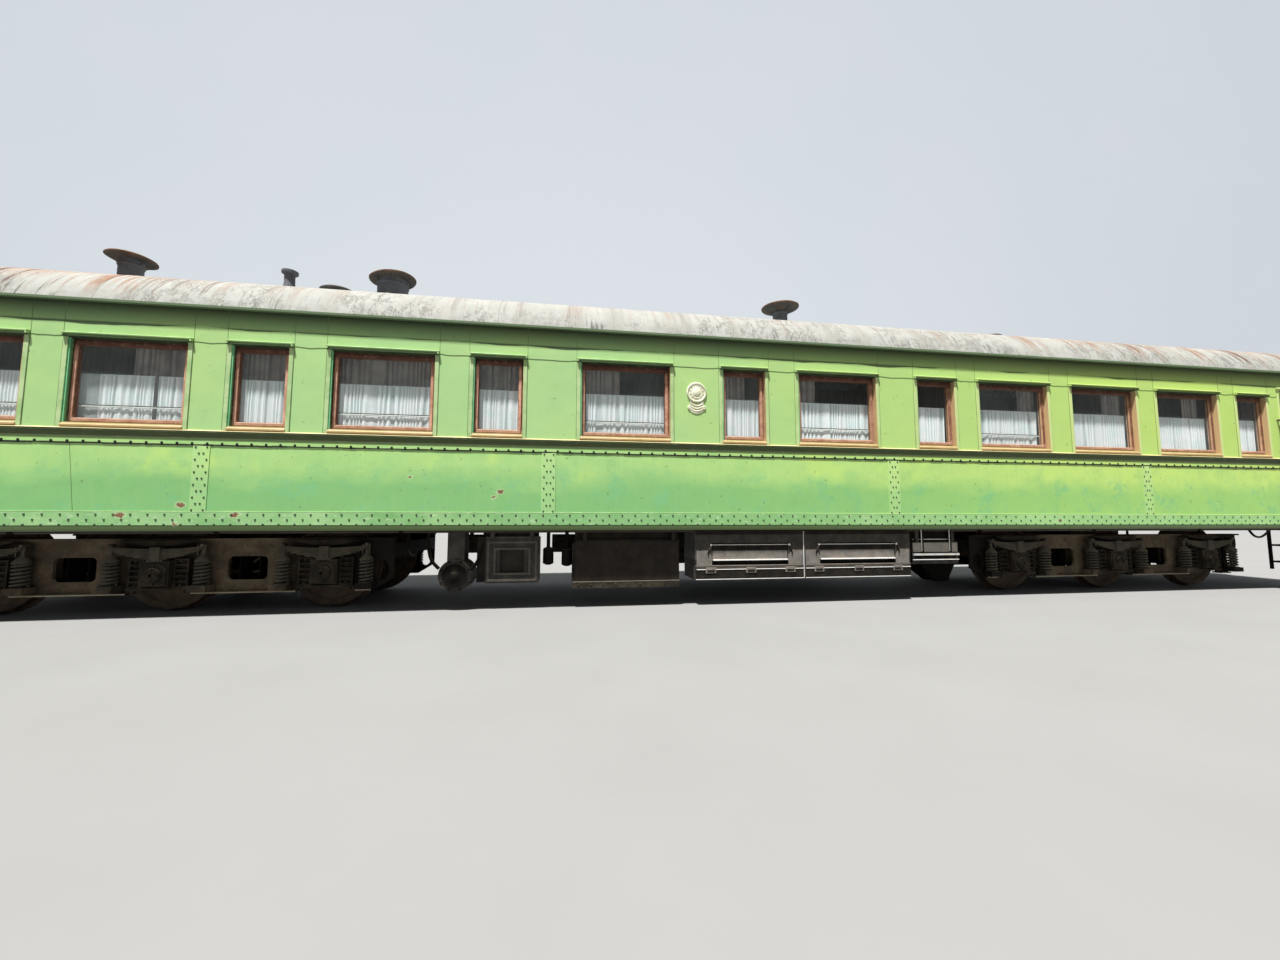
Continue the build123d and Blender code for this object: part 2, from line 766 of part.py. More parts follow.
def side_frame(side):
    """Plate frame of one bogie side, with its lights, flanges, jaws, columns and spring seats."""
    end_foot = FRAME_FOOT + 150
    points = (
        (-NOSE_X, FRAME_FOOT),
        (NOSE_X, FRAME_FOOT),
        (BOGIE_HALF, end_foot),
        (BOGIE_HALF, FRAME_TOP),
        (-BOGIE_HALF, FRAME_TOP),
        (-BOGIE_HALF, end_foot),
    )
    plate = plate_xz(points, side * FRAME_IN, side * FRAME_OUT)
    light = extrude(Plane.XZ * RectangleRounded(440, 285, 55), 200, both=True)
    end_light = extrude(Plane.XZ * Ellipse(85, 125), 200, both=True)
    for turn in (-1, 1):
        plate -= Pos(turn * TRANSOM_X, side * FRAME_OUT, RAIL_TOP + 502) * light
        plate -= Pos(turn * 2465, side * FRAME_OUT, RAIL_TOP + 455) * end_light
    plate += side_block(-BOGIE_HALF, BOGIE_HALF, FRAME_IN - 50, FRAME_OUT + 55,
                        FRAME_TOP - 25, FRAME_TOP, side)
    plate += side_block(-NOSE_X, NOSE_X, FRAME_IN - 40, FRAME_OUT + 55,
                        FRAME_FOOT, FRAME_FOOT + 22, side)
    for x in AXLES:
        plate -= side_block(x - BINDER_HALF, x + BINDER_HALF, FRAME_IN - 60, FRAME_OUT + 60,
                            FRAME_FOOT - 5, BINDER_Z[0], side)
        plate -= side_block(x - BOX_HALF, x + BOX_HALF, FRAME_IN - 5, FRAME_OUT + 5,
                            BINDER_Z[0] - 5, AXLEBOX_Z[1], side)
        plate += side_block(x - BINDER_HALF, x + BINDER_HALF, FRAME_IN, FRAME_OUT + 75,
                            *BINDER_Z, side)
        plate += [
            side_block(x + shift - 95, x + shift + 95, FRAME_OUT - 5, COIL_OUT + 90,
                       COIL_Z[0] - 70, COIL_Z[0], side)
            for shift in (-COIL_SHIFT, COIL_SHIFT)
        ]
        plate += [axle_column(x, turn, side) for turn in (-1, 1)]
        plate += spring_cap(x, side)
    return plate


def axle_column(x, turn, side):
    """Ribbed column beside an axlebox: a row of pockets with a rib between each two."""
    low, high = sorted((x + turn * COLUMN_X[0], x + turn * COLUMN_X[1]))
    foot = BINDER_Z[1] - 5
    column = side_block(low, high, FRAME_OUT - 5, FRAME_OUT + 70, foot, COLUMN_TOP, side)
    rib = 18
    pitch = (COLUMN_TOP - rib - foot) / POCKETS
    return column - [
        side_block(low + rib, high - rib, FRAME_OUT + 25, FRAME_OUT + 75,
                   foot + rib + row * pitch, foot + (row + 1) * pitch, side)
        for row in range(POCKETS)
    ]


def spring_cap(x, side):
    """Lens-shaped cap under the top flange, over a leaf spring."""
    high = FRAME_TOP - 20
    outline = [
        Line((x - CAP_HALF, high), (x + CAP_HALF, high)),
        ThreePointArc((x + CAP_HALF, high), (x, CAP_LOW), (x - CAP_HALF, high)),
    ]
    face = Plane.XZ * make_face(outline)
    y0, y1 = sorted((side * (FRAME_OUT - 5), side * (FRAME_OUT + 85)))
    return Pos(0, y1, 0) * extrude(face, y1 - y0)


def bogie_frame():
    """Two side frames, end and middle transoms, and the bridge that carries the centre plate."""
    frame = side_frame(-1) + side_frame(1)
    reach = FRAME_IN + 5
    for turn in (-1, 1):
        x0, x1 = turn * TRANSOM_X - TRANSOM_HALF, turn * TRANSOM_X + TRANSOM_HALF
        frame += block(x0, x1, -reach, reach, *TRANSOM_Z)
        x0, x1 = sorted((turn * (BOGIE_HALF - 60), turn * BOGIE_HALF))
        frame += block(x0, x1, -reach, reach, 640, 820)
    bridge = TRANSOM_X + TRANSOM_HALF
    frame += block(-bridge, bridge, -290, 290, 720, BRIDGE_TOP)
    frame += rod_z(0, 0, BRIDGE_TOP, CENTRE_PLATE_Z - 0.5, 200)
    return frame


def leaf_top(shift):
    """Height of a leaf spring's upper surface at a distance from its middle."""
    return LEAF_LOW + LEAF_RISE * (shift / LEAF_HALF) ** 2


def leaf_spring(x, side):
    """Pack of leaves over an axlebox, each one shorter than the one above, in its buckle."""
    steps = []
    for leaf in range(LEAVES):
        half = LEAF_HALF * (1 - (leaf / LEAVES) ** 2)
        steps.append((half, leaf_top(half) - leaf * LEAF_THICK))
        steps.append((half, leaf_top(half) - (leaf + 1) * LEAF_THICK))
    right = [(x + shift, z) for shift, z in steps]
    left = [(x - shift, z) for shift, z in reversed(steps)]
    outline = [ThreePointArc(left[-1], (x, LEAF_LOW), right[0]), Polyline(*right, *left)]
    face = Plane.XZ * make_face(outline)
    y0, y1 = sorted((side * LEAF_OUT[0], side * LEAF_OUT[1]))
    spring = Pos(0, y1, 0) * extrude(face, y1 - y0)
    for turn in (-1, 1):
        eye_x = x + turn * (LEAF_HALF - 14)
        spring += rod_y(eye_x, y0 - 6, y1 + 6, leaf_top(LEAF_HALF) + 8, 24)
    return spring + side_block(x - 55, x + 55, LEAF_OUT[0] - 10, LEAF_OUT[1] + 10,
                               AXLEBOX_Z[1], LEAF_LOW + 20, side)


def coil(x, side):
    """Coil spring beside an axle, under a turned cap that narrows to the hanger rod."""
    low, high = COIL_Z
    pitch = (high - low) / COIL_TURNS
    core = COIL_R - COIL_GROOVE
    points = [(0, low)]
    for turn in range(COIL_TURNS):
        z = low + turn * pitch
        points += [(core, z), (COIL_R, z + pitch / 2)]
    points += [
        (core, high),
        (COIL_R - 4, high + 3),
        (COIL_R - 4, high + 18),
        (42, high + 62),
        (20, high + 80),
        (20, leaf_top(LEAF_HALF)),
        (0, leaf_top(LEAF_HALF)),
    ]
    return Pos(x, side * COIL_OUT, 0) * turned(points)


def bogie_springs():
    made = []
    for side in SIDES:
        for x in AXLES:
            spring = leaf_spring(x, side)
            spring += coil(x - COIL_SHIFT, side)
            spring += coil(x + COIL_SHIFT, side)
            made.append(spring)
    return made


def axlebox(x, side):
    """Axlebox with an arched front, a round cover and the bore for the journal."""
    low, high = AXLEBOX_Z
    inner, outer = AXLEBOX_OUT
    arch = BOX_HALF - 20
    box = side_block(x - BOX_HALF, x + BOX_HALF, inner, outer, low, high, side)
    foot = Polyline((x - arch, COVER_Z), (x - arch, low + 20), (x + arch, low + 20),
                    (x + arch, COVER_Z))
    front = make_face([foot, ThreePointArc((x + arch, COVER_Z), (x, COVER_Z + arch),
                                           (x - arch, COVER_Z))])
    y0, y1 = sorted((side * (outer - 5), side * (outer + 20)))
    box += Pos(0, y1, 0) * extrude(Plane.XZ * front, y1 - y0)
    box += rod_y(x, side * (outer + 15), side * (outer + 42), COVER_Z, 92)
    return box - rod_y(x, side * (inner - 5), side * (JOURNAL_END + 6), AXLE_Z, JOURNAL_R + 0.4)


def brake_set(axle, away):
    """Shoes on the two wheels of one axle, with their beam and hangers; away is +1 or -1 along X."""
    shoe_gap = 12
    near = axle + away * 480
    far = axle + away * 600
    x0, x1 = sorted((near, far))
    gear = None
    for side in SIDES:
        shoe = side_block(x0, x1, 762, 840, AXLE_Z - 150, AXLE_Z + 150, side)
        shoe -= rod_y(axle, side * 700, side * 870, AXLE_Z, WHEEL_R + shoe_gap)
        hanger = side_block(*sorted((far, far - away * 22)), 765, 805, AXLE_Z + 100, 780, side)
        to_transom = TRANSOM_X if far > 0 else -TRANSOM_X
        edge = to_transom + (TRANSOM_HALF if to_transom < far else -TRANSOM_HALF)
        hanger += side_block(*sorted((far - away * 5, edge)), 765, 805, 740, 780, side)
        shoe += hanger
        gear = shoe if gear is None else gear + shoe
    beam = block(*sorted((far - away * 50, far)), -762, 762, AXLE_Z - 130, AXLE_Z - 70)
    return gear + beam


def brake_pair(end):
    """Brake sets on both sides of one transom, with their pull rods and sloping levers."""
    pair = brake_set(0, end) + brake_set(end * AXLE_PITCH, -end)
    lever = (
        (end * 585, 440),
        (end * 632, 440),
        (end * 1000, TRANSOM_Z[0]),
        (end * 948, TRANSOM_Z[0]),
    )
    for side in SIDES:
        pair += rod_x(end * 575, end * (AXLE_PITCH - 575), side * 700, AXLE_Z - 100, 18)
        pair += plate_xz(lever, side * 689, side * 711)
    return pair


def wheelset():
    """Axle with two flanged wheels, about its own centre along Y."""
    hub, rim, back = 105, 445, 720
    points = (
        (0, -JOURNAL_END),
        (JOURNAL_R, -JOURNAL_END),
        (JOURNAL_R, -900),
        (hub, -885),
        (hub, -845),
        (rim, -815),
        (rim + 10, -850),
        (WHEEL_R - 4, -850),
        (WHEEL_R + 1, -752),
        (WHEEL_R + RAIL_TOP, -740),
        (WHEEL_R + RAIL_TOP, -back),
        (80, -back),
        (80, 0),
        (0, 0),
    )
    half = revolve(make_face(Polyline(*points, close=True)), Axis.Y)
    return half + mirror(half, Plane.XZ)


def plaque():
    """Bare round casting on the -Y side: raised rim, domed middle and a plain scroll below."""
    x, z, radius = -320, RAIL_TOP + 2790, 135
    half = revolve(make_face(Polyline(
        (0, 0),
        (radius, 0),
        (radius, 22),
        (radius - 22, 22),
        (radius - 26, 12),
        (72, 12),
        (60, 20),
        (0, 28),
        close=True,
    )), Axis.Y)
    disc = Pos(x, -HALF_W, z) * Rot(180, 0, 0) * half
    hang = 285
    scroll = [
        ThreePointArc((x - 112, z - hang + 66), (x, z - hang), (x + 112, z - hang + 66)),
        Line((x + 112, z - hang + 66), (x + 86, z - 96)),
        ThreePointArc((x + 86, z - 96), (x, z - 152), (x - 86, z - 96)),
        Line((x - 86, z - 96), (x - 112, z - hang + 66)),
    ]
    return disc + Pos(0, -HALF_W, 0) * extrude(Plane.XZ * make_face(scroll), 12)


save("side_wall_near", [side_wall(-1)])
save("side_wall_far", [side_wall(1)])
save("end_wall_front", [end_wall(1)])
save("end_wall_rear", [end_wall(-1)])
save("roof", [roof()])
fittings = [mushroom(*row) for row in MUSHROOMS] + [low_dome(*row) for row in LOW_DOMES]
save("roof_vents", fittings + [chimney(*CHIMNEY)])
save("floor", [block(-INNER_L, INNER_L, -INNER_W, INNER_W, FLOOR_TOP - FLOOR_THICK, FLOOR_TOP)])
save("inner_walls", [inner_walls()])
save("underframe", [underframe()])

frames, panes, curtains = zip(*[window_pieces(x, w, side) for side in SIDES for x, w in WINDOWS])
save("window_frames", frames)
save("window_glass", panes)
save("curtains", list(curtains) + drapes())

for end, end_name in ((1, "front"), (-1, "rear")):
    for side, side_name in ((-1, "near"), (1, "far")):
        leaf, pane = side_door(end, side)
        save("side_door_" + end_name + "_" + side_name, [leaf])
        save("door_glass_" + end_name + "_" + side_name, [pane])
    leaf, pane = end_door(end)
    save("end_door_" + end_name, [leaf])
    save("door_glass_" + end_name + "_end", [pane])
    save("fall_plate_" + end_name, [fall_plate(end)])

save("gangways", [gangway(1), gangway(-1)] + fall_brackets())
save("buffers", buffers())
save("couplers", [coupler(1), coupler(-1)])
save("door_steps", door_steps())
save("handrails", handrails())
save("equipment_boxes", [recess_box(), plain_box(), hopper_box()])
save("battery_boxes", [battery_box(-1), battery_box(1)])
for side, side_name in ((-1, "near"), (1, "far")):
    for bay in range(2):
        save("battery_lid_" + side_name + "_" + str(bay + 1), [battery_lid(bay, side)])
save("air_tanks", [brake_cylinder(), air_tank(-1500, 1150, 1500), air_tank(-3200, 1150, 1300)])
save("plaque", [plaque()])

frame_form = bogie_frame()
spring_forms = bogie_springs()
box_forms = [axlebox(x, side) for side in SIDES for x in AXLES]
brake_forms = [brake_pair(-1), brake_pair(1)]
wheel_form = wheelset()
for end, end_name in ((1, "front"), (-1, "rear")):
    place = Pos(end * BOGIE_X, 0, 0)
    save("bogie_frame_" + end_name, [place * frame_form])
    save("bogie_springs_" + end_name, [place * form for form in spring_forms])
    save("axleboxes_" + end_name, [place * form for form in box_forms])
    save("brake_gear_" + end_name, [place * form for form in brake_forms])
    for number, x in enumerate(AXLES, 1):
        spot = Pos(end * BOGIE_X + x, 0, AXLE_Z)
        save("wheelset_" + end_name + "_" + str(number), [spot * wheel_form])
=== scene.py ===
import math
import random

import bmesh
import bpy
from mathutils import Matrix, Vector


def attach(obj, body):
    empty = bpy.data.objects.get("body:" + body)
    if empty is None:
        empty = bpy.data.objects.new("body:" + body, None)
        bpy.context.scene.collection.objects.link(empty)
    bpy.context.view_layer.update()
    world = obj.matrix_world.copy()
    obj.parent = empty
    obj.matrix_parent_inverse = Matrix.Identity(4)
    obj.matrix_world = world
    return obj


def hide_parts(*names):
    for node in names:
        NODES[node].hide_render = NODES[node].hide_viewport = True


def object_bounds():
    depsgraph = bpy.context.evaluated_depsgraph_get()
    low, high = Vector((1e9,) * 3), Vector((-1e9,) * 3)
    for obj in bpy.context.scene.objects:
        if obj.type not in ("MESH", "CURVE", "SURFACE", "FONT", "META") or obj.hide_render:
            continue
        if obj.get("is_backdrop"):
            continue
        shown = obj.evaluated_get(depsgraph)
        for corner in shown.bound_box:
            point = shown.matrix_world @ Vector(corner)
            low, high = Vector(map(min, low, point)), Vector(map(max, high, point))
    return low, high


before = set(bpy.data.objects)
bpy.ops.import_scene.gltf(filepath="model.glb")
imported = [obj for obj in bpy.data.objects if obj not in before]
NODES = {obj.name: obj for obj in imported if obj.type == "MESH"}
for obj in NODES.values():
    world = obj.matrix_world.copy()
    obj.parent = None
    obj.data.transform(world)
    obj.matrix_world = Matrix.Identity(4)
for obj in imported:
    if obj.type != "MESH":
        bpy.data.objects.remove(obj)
CAD_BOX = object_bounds()

# Sizes in metres, in the frame of the part: +X along the coach, -Y the side with the plaque,
# Z 0 at the tips of the wheel flanges. "out" is the distance from the centre plane Y 0,
# "proud" the distance from the wall's face HALF_W.
RAIL_TOP = 0.028
HALF_L = 10.65
HALF_W = 1.55
SKIN = HALF_W - 0.001  # where trim on the walls starts
EAVE = RAIL_TOP + 3.532
CROWN = RAIL_TOP + 4.300
ROOF_HALF = HALF_W + 0.062
SIDES = (-1, 1)
ENDS = (("front", 1), ("rear", -1))
SIDE_WORDS = ((-1, "near"), (1, "far"))

# Windows: centre along X, width of the opening.
WIDE = 1.180
NARROW = 0.610
WINDOWS = (
    (-8.500, WIDE), (-6.911, WIDE), (-5.573, NARROW), (-4.225, WIDE), (-2.878, NARROW), (-1.266, WIDE),
    (0.346, NARROW), (1.717, WIDE), (3.255, NARROW), (4.555, WIDE), (6.166, WIDE), (7.746, WIDE),
    (9.037, NARROW),
)
OPENINGS = [(side, x, width) for side in SIDES for x, width in WINDOWS]
WINDOW_SILL = RAIL_TOP + 2.160
WINDOW_HEAD = RAIL_TOP + 3.120
FRAME_OUT = HALF_W - 0.060
FRAME_BAR = 0.065
FRAME_DEPTH = 0.045
RAISED = 0.014
LEDGE_TOP = RAIL_TOP + 2.104
STRAP_TOP = LEDGE_TOP - 0.160
UPPER_LOW = 2.03  # foot of the paint's upper tone
BAND_BOTTOM = RAIL_TOP + 1.032
BAND_TOP = RAIL_TOP + 1.188
STRAPS = (-6.110, -2.240, 2.535, 6.850)
DOOR_X = 9.970
DOOR_HALF = 0.350
WALL_REACH = DOOR_X - DOOR_HALF
FLOOR_TOP = RAIL_TOP + 1.300
DOOR_HEAD = FLOOR_TOP + 1.960

BOGIE_X = 6.800
AXLES = (-1.830, 0.0, 1.830)

random.seed(7)


def arc(start, middle, end, count):
    """Points on the circle through three points of a plane, from start to end."""
    (ax, ay), (bx, by), (cx, cy) = start, middle, end
    cross = 2 * (ax * (by - cy) + bx * (cy - ay) + cx * (ay - by))
    sa, sb, sc = ax * ax + ay * ay, bx * bx + by * by, cx * cx + cy * cy
    ox = (sa * (by - cy) + sb * (cy - ay) + sc * (ay - by)) / cross
    oy = (sa * (cx - bx) + sb * (ax - cx) + sc * (bx - ax)) / cross
    radius = math.hypot(ax - ox, ay - oy)
    first = math.atan2(ay - oy, ax - ox)
    sweep = math.atan2(cy - oy, cx - ox) - first
    through = (math.atan2(by - oy, bx - ox) - first) % math.tau
    sweep %= math.tau
    if through > sweep:
        sweep -= math.tau
    angles = [first + sweep * i / count for i in range(count + 1)]
    return [(ox + radius * math.cos(a), oy + radius * math.sin(a)) for a in angles]


def steps(start, stop, pitch):
    """Places a pitch apart, from start on and below stop."""
    while start < stop:
        yield start
        start += pitch


def circle(count, radius, shift=0.5):
    """Places spread evenly on a circle, as (across, up), the first one turned by a share of the pitch."""
    for k in range(count):
        angle = math.tau * (k + shift) / count
        yield radius * math.cos(angle), radius * math.sin(angle)


def new_object(name, points, faces, material):
    """Smooth-shaded mesh of one material, linked into the scene."""
    mesh = bpy.data.meshes.new(name)
    mesh.from_pydata(points, [], faces)
    mesh.materials.append(material)
    mesh.polygons.foreach_set("use_smooth", [True] * len(mesh.polygons))
    made = bpy.data.objects.new(name, mesh)
    bpy.context.scene.collection.objects.link(made)
    return made


SHARP_ANGLE = math.radians(35)
BEVEL_ANGLE = math.radians(40)


def axes_across(direction):
    """Two unit axes at right angles to a unit direction and to each other."""
    across = direction.orthogonal().normalized()
    return across, direction.cross(across)


class Shape:
    """Points and faces of one piece, gathered in the frame of the part."""

    def __init__(self):
        self.points = []
        self.faces = []

    def add(self, points, faces):
        start = len(self.points)
        self.points += [tuple(p) for p in points]
        self.faces += [tuple(start + i for i in face) for face in faces]

    def box(self, x0, x1, y0, y1, z0, z1):
        xs, ys, zs = sorted((x0, x1)), sorted((y0, y1)), sorted((z0, z1))
        corners = [(x, y, z) for x in xs for y in ys for z in zs]
        faces = ((0, 1, 3, 2), (4, 6, 7, 5), (0, 4, 5, 1), (2, 3, 7, 6), (0, 2, 6, 4), (1, 5, 7, 3))
        self.add(corners, faces)

    def side_box(self, side, x0, x1, out0, out1, z0, z1):
        self.box(x0, x1, side * out0, side * out1, z0, z1)

    def side_boxes(self, side, *rows):
        for row in rows:
            self.side_box(side, *row)

    def on_wall(self, side, x0, x1, proud, z0, z1):
        """Box that stands on the wall's face."""
        self.side_box(side, x0, x1, SKIN, HALF_W + proud, z0, z1)

    def skin(self, rings, loop=False):
        """Faces between rings of points that go round the same way, closed at both ends or in a loop."""
        count = len(rings[0])
        points = [p for ring in rings for p in ring]
        faces = []
        for a in range(len(rings) if loop else len(rings) - 1):
            b = (a + 1) % len(rings)
            for i in range(count):
                j = (i + 1) % count
                faces.append((a * count + i, a * count + j, b * count + j, b * count + i))
        if not loop:
            faces.append(tuple(range(count)))
            faces.append(tuple(range((len(rings) - 1) * count, len(rings) * count)))
        self.add(points, faces)

    def prism(self, outline, side, out0, out1):
        """Flat outline of (x, z) points between two distances from the centre plane."""
        self.skin([[(x, side * out, z) for x, z in outline] for out in (out0, out1)])

    def bar_x(self, x0, x1, section):
        """Bar along the coach with a section of (y, z) points."""
        self.skin([[(x, y, z) for y, z in section] for x in (x0, x1)])

    def rod(self, x0, x1, y, z, radius, sides=8):
        """Straight round bar along the coach."""
        self.tube([(x0, y, z), (x1, y, z)], radius, sides)

    def tube(self, path, radius, sides=10):
        """Round bar along a path of points."""
        path = [Vector(p) for p in path]
        ahead = (path[1] - path[0]).normalized()
        across = ahead.orthogonal().normalized()
        rings = []
        for i, point in enumerate(path):
            before = path[max(i - 1, 0)]
            after = path[min(i + 1, len(path) - 1)]
            ahead = (after - before).normalized()
            across = (across - ahead * across.dot(ahead)).normalized()
            other = ahead.cross(across)
            rings.append([
                point + (across * math.cos(a) + other * math.sin(a)) * radius
                for a in (math.tau * k / sides for k in range(sides))
            ])
        self.skin(rings)

    def lathe(self, centre, direction, profile, sides=24, wobble=0.0):
        """Turned form from rows of (distance along the direction, radius)."""
        centre = Vector(centre)
        direction = Vector(direction).normalized()
        u, v = axes_across(direction)
        rings = []
        for along, radius in profile:
            ring = []
            for k in range(sides):
                angle = math.tau * k / sides
                dent = 1 + wobble * math.sin(3 * angle + along * 40) + wobble * 0.6 * math.sin(7 * angle)
                spoke = u * math.cos(angle) + v * math.sin(angle)
                ring.append(centre + direction * along + spoke * (max(radius, 0.0005) * dent))
            rings.append(ring)
        self.skin(rings)

    def post(self, x, foot, rows, sides):
        """Slightly dented upright form on the roof's centre line, from rows of (height, radius)."""
        self.lathe((x, 0, foot), (0, 0, 1), [(z - foot, radius) for z, radius in rows], sides, 0.006)

    def dome(self, centre, direction, radius, height, sides=6):
        """Rivet head that stands on a surface, open at its foot."""
        centre = Vector(centre)
        direction = Vector(direction)
        u, v = axes_across(direction)
        spokes = [u * across + v * up for across, up in circle(sides, 1, 0)]
        foot = [centre + spoke * radius for spoke in spokes]
        ring = [centre + spoke * radius * 0.72 + direction * height * 0.75 for spoke in spokes]
        faces = []
        for i in range(sides):
            j = (i + 1) % sides
            faces.append((i, j, sides + j, sides + i))
            faces.append((sides + i, sides + j, 2 * sides))
        self.add(foot + ring + [centre + direction * height], faces)

    def bolt(self, centre, direction, radius, height):
        """Six-sided bolt head."""
        self.lathe(centre, direction, ((0, radius), (height * 0.8, radius), (height, radius * 0.8)), 6)

    def helix(self, centre, radius, wire, z0, z1, turns):
        """Coil spring about a vertical axis, with its end turns laid flat."""
        x0, y0 = centre
        path = []
        per_turn = 18
        total = int(turns * per_turn)
        for i in range(total + 1):
            angle = math.tau * i / per_turn
            level = min(max((i / total - 0.06) / 0.88, 0.0), 1.0)
            z = z0 + wire + (z1 - z0 - 2 * wire) * level
            path.append((x0 + radius * math.cos(angle), y0 + radius * math.sin(angle), z))
        self.tube(path, wire, 7)

    def shifted(self, dx):
        """The same shape moved along the coach."""
        copy = Shape()
        copy.points = [(x + dx, y, z) for x, y, z in self.points]
        copy.faces = list(self.faces)
        return copy

    def piece(self, name, material, slot, body="root", bevel=0.0):
        """Make the object: outward normals, sharp edges above an angle, bevelled ones where asked."""
        made = new_object(name, self.points, self.faces, material)
        form = bmesh.new()
        form.from_mesh(made.data)
        bmesh.ops.recalc_face_normals(form, faces=form.faces)
        form.to_mesh(made.data)
        form.free()
        made.data.set_sharp_from_angle(angle=SHARP_ANGLE)
        if bevel:
            edge = made.modifiers.new("edge", "BEVEL")
            edge.width = bevel
            edge.segments = 2
            edge.limit_method = "ANGLE"
            edge.angle_limit = BEVEL_ANGLE
        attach(made, body)
        return made


# Brightness of a white surface under the lights, which the colours are divided by: on the walls, the
# roof, the ventilators, the boxes under the floor, the bogies, and in the shade behind them.
WALL_LIGHT = 1.25
ROOF_LIGHT = 2.60
VENT_LIGHT = 1.2
BOX_LIGHT = 0.8
BOGIE_LIGHT = 0.55
SHADE_LIGHT = 0.6


def colour(red, green, blue, light=WALL_LIGHT):
    """Linear paint colour that comes out as this sRGB triple, 0 to 255, under that much light."""
    levels = []
    for level in (red / 255, green / 255, blue / 255):
        straight = level / 12.92 if level <= 0.04045 else ((level + 0.055) / 1.055) ** 2.4
        levels.append(min(straight / light, 0.9))
    return (*levels, 1.0)


class Shade:
    """Node tree of one material, built on the part's own coordinates."""

    def __init__(self, name, roughness=0.6, specular=0.4):
        self.material = bpy.data.materials.new(name)
        self.material.use_nodes = True
        self.tree = self.material.node_tree
        self.shader = self.tree.nodes["Principled BSDF"]
        self.shader.inputs["Roughness"].default_value = roughness
        self.shader.inputs["Specular IOR Level"].default_value = specular
        self.coords = self.tree.nodes.new("ShaderNodeTexCoord")

    def add(self, kind, inputs, **settings):
        node = self.tree.nodes.new(kind)
        for key, value in settings.items():
            setattr(node, key, value)
        for key, value in inputs.items():
            self.feed(node.inputs[key], value)
        return node

    def feed(self, socket, value):
        if isinstance(value, bpy.types.NodeSocket):
            self.tree.links.new(value, socket)
        else:
            socket.default_value = value

    def axis(self, letter, kind="Object"):
        return self.add("ShaderNodeSeparateXYZ", {0: self.coords.outputs[kind]}).outputs[letter]

    def upward(self):
        """1 on faces that look up, -1 on those that look down."""
        return self.axis("Z", "Normal")

    def stretched(self, stretch):
        place = {"Vector": self.coords.outputs["Object"], "Scale": stretch}
        return self.add("ShaderNodeMapping", place).outputs["Vector"]

    def noise(self, scale, detail=4.0, rough=0.55, stretch=(1, 1, 1)):
        cloud = {"Vector": self.stretched(stretch), "Scale": scale, "Detail": detail, "Roughness": rough}
        return self.add("ShaderNodeTexNoise", cloud).outputs["Fac"]

    def math(self, operation, a, b=0.5):
        return self.add("ShaderNodeMath", {0: a, 1: b}, operation=operation).outputs[0]

    def times(self, product, *factors):
        for factor in factors:
            product = self.math("MULTIPLY", product, factor)
        return product

    def away(self, letter):
        """Distance from the middle along an axis."""
        return self.math("ABSOLUTE", self.axis(letter))

    def span(self, value, low, high):
        """0 at low, 1 at high, held outside."""
        moved = self.add("ShaderNodeMapRange", {"Value": value, "From Min": low, "From Max": high})
        return moved.outputs["Result"]

    def ramp(self, fac, stops):
        """Colours or levels at places from 0 to 1."""
        node = self.add("ShaderNodeValToRGB", {"Fac": fac})
        marks = node.color_ramp.elements
        while len(marks) < len(stops):
            marks.new(0.5)
        for mark, (place, level) in zip(marks, stops):
            mark.position = place
            mark.color = level if isinstance(level, tuple) else (level, level, level, 1.0)
        return node.outputs["Color"]

    def mix(self, fac, a, b, mode="MIX"):
        return self.add("ShaderNodeMix", {0: fac, 6: a, 7: b}, data_type="RGBA", blend_type=mode).outputs[2]

    def blend(self, mask, tone, other, light=WALL_LIGHT):
        """One colour, and the other where the mask says."""
        return self.mix(mask, colour(*tone, light), colour(*other, light))

    def coat(self, base, mask, *tone):
        """The base with a colour over it where the mask says."""
        return self.mix(mask, base, colour(*tone))

    def patches(self, low, high, level, *noise):
        """Patches cut from a noise: nothing below low, the level above high."""
        return self.ramp(self.noise(*noise), ((low, 0.0), (high, level)))

    def bump(self, *layers):
        """Relief from rows of (height, depth in metres, strength)."""
        normal = None
        for height, depth, strength in layers:
            node = self.add("ShaderNodeBump", {"Height": height, "Distance": depth, "Strength": strength})
            if normal is not None:
                self.feed(node.inputs["Normal"], normal)
            normal = node.outputs["Normal"]
        self.feed(self.shader.inputs["Normal"], normal)

    def done(self, base):
        self.feed(self.shader.inputs["Base Color"], base)
        return self.material

    def done_iron(self, base):
        """Finish with the pitted relief of iron."""
        self.bump((self.noise(14, 5, 0.7), 0.004, 0.5), (self.noise(120, 3), 0.001, 0.5))
        return self.done(base)


def within(s, letter, low, high, soft=0.004):
    """Mask of the stretch between two places along an axis."""
    value = s.axis(letter)
    return s.times(s.span(value, low - soft, low), s.span(value, high + soft, high))


# Rust spots on the sides: X, Z, radius.
RUST_SPOTS = (
    (-6.285, 1.287, 0.040), (-6.858, 1.174, 0.044), (-5.728, 1.176, 0.040), (-6.330, 1.075, 0.020),
    (-2.825, 1.466, 0.034), (-2.90, 1.40, 0.020), (-3.875, 1.640, 0.014), (5.219, 1.120, 0.030),
)


def spots(s, wider=0.0):
    """Mask of the rust spots, flat with ragged edges."""
    flat = s.stretched((1, 0, 1.5))
    ragged = s.times(s.noise(34, 6, 0.75), 0.14)
    mask = None
    for x, z, radius in RUST_SPOTS:
        centre = (x, 0, 1.5 * z)
        away = s.add("ShaderNodeVectorMath", {0: flat, 1: centre}, operation="DISTANCE").outputs["Value"]
        edge = radius + 0.070 + wider
        inside = s.span(s.math("ADD", away, ragged), edge + 0.006, edge - 0.006)
        mask = inside if mask is None else s.math("MAXIMUM", mask, inside)
    return mask


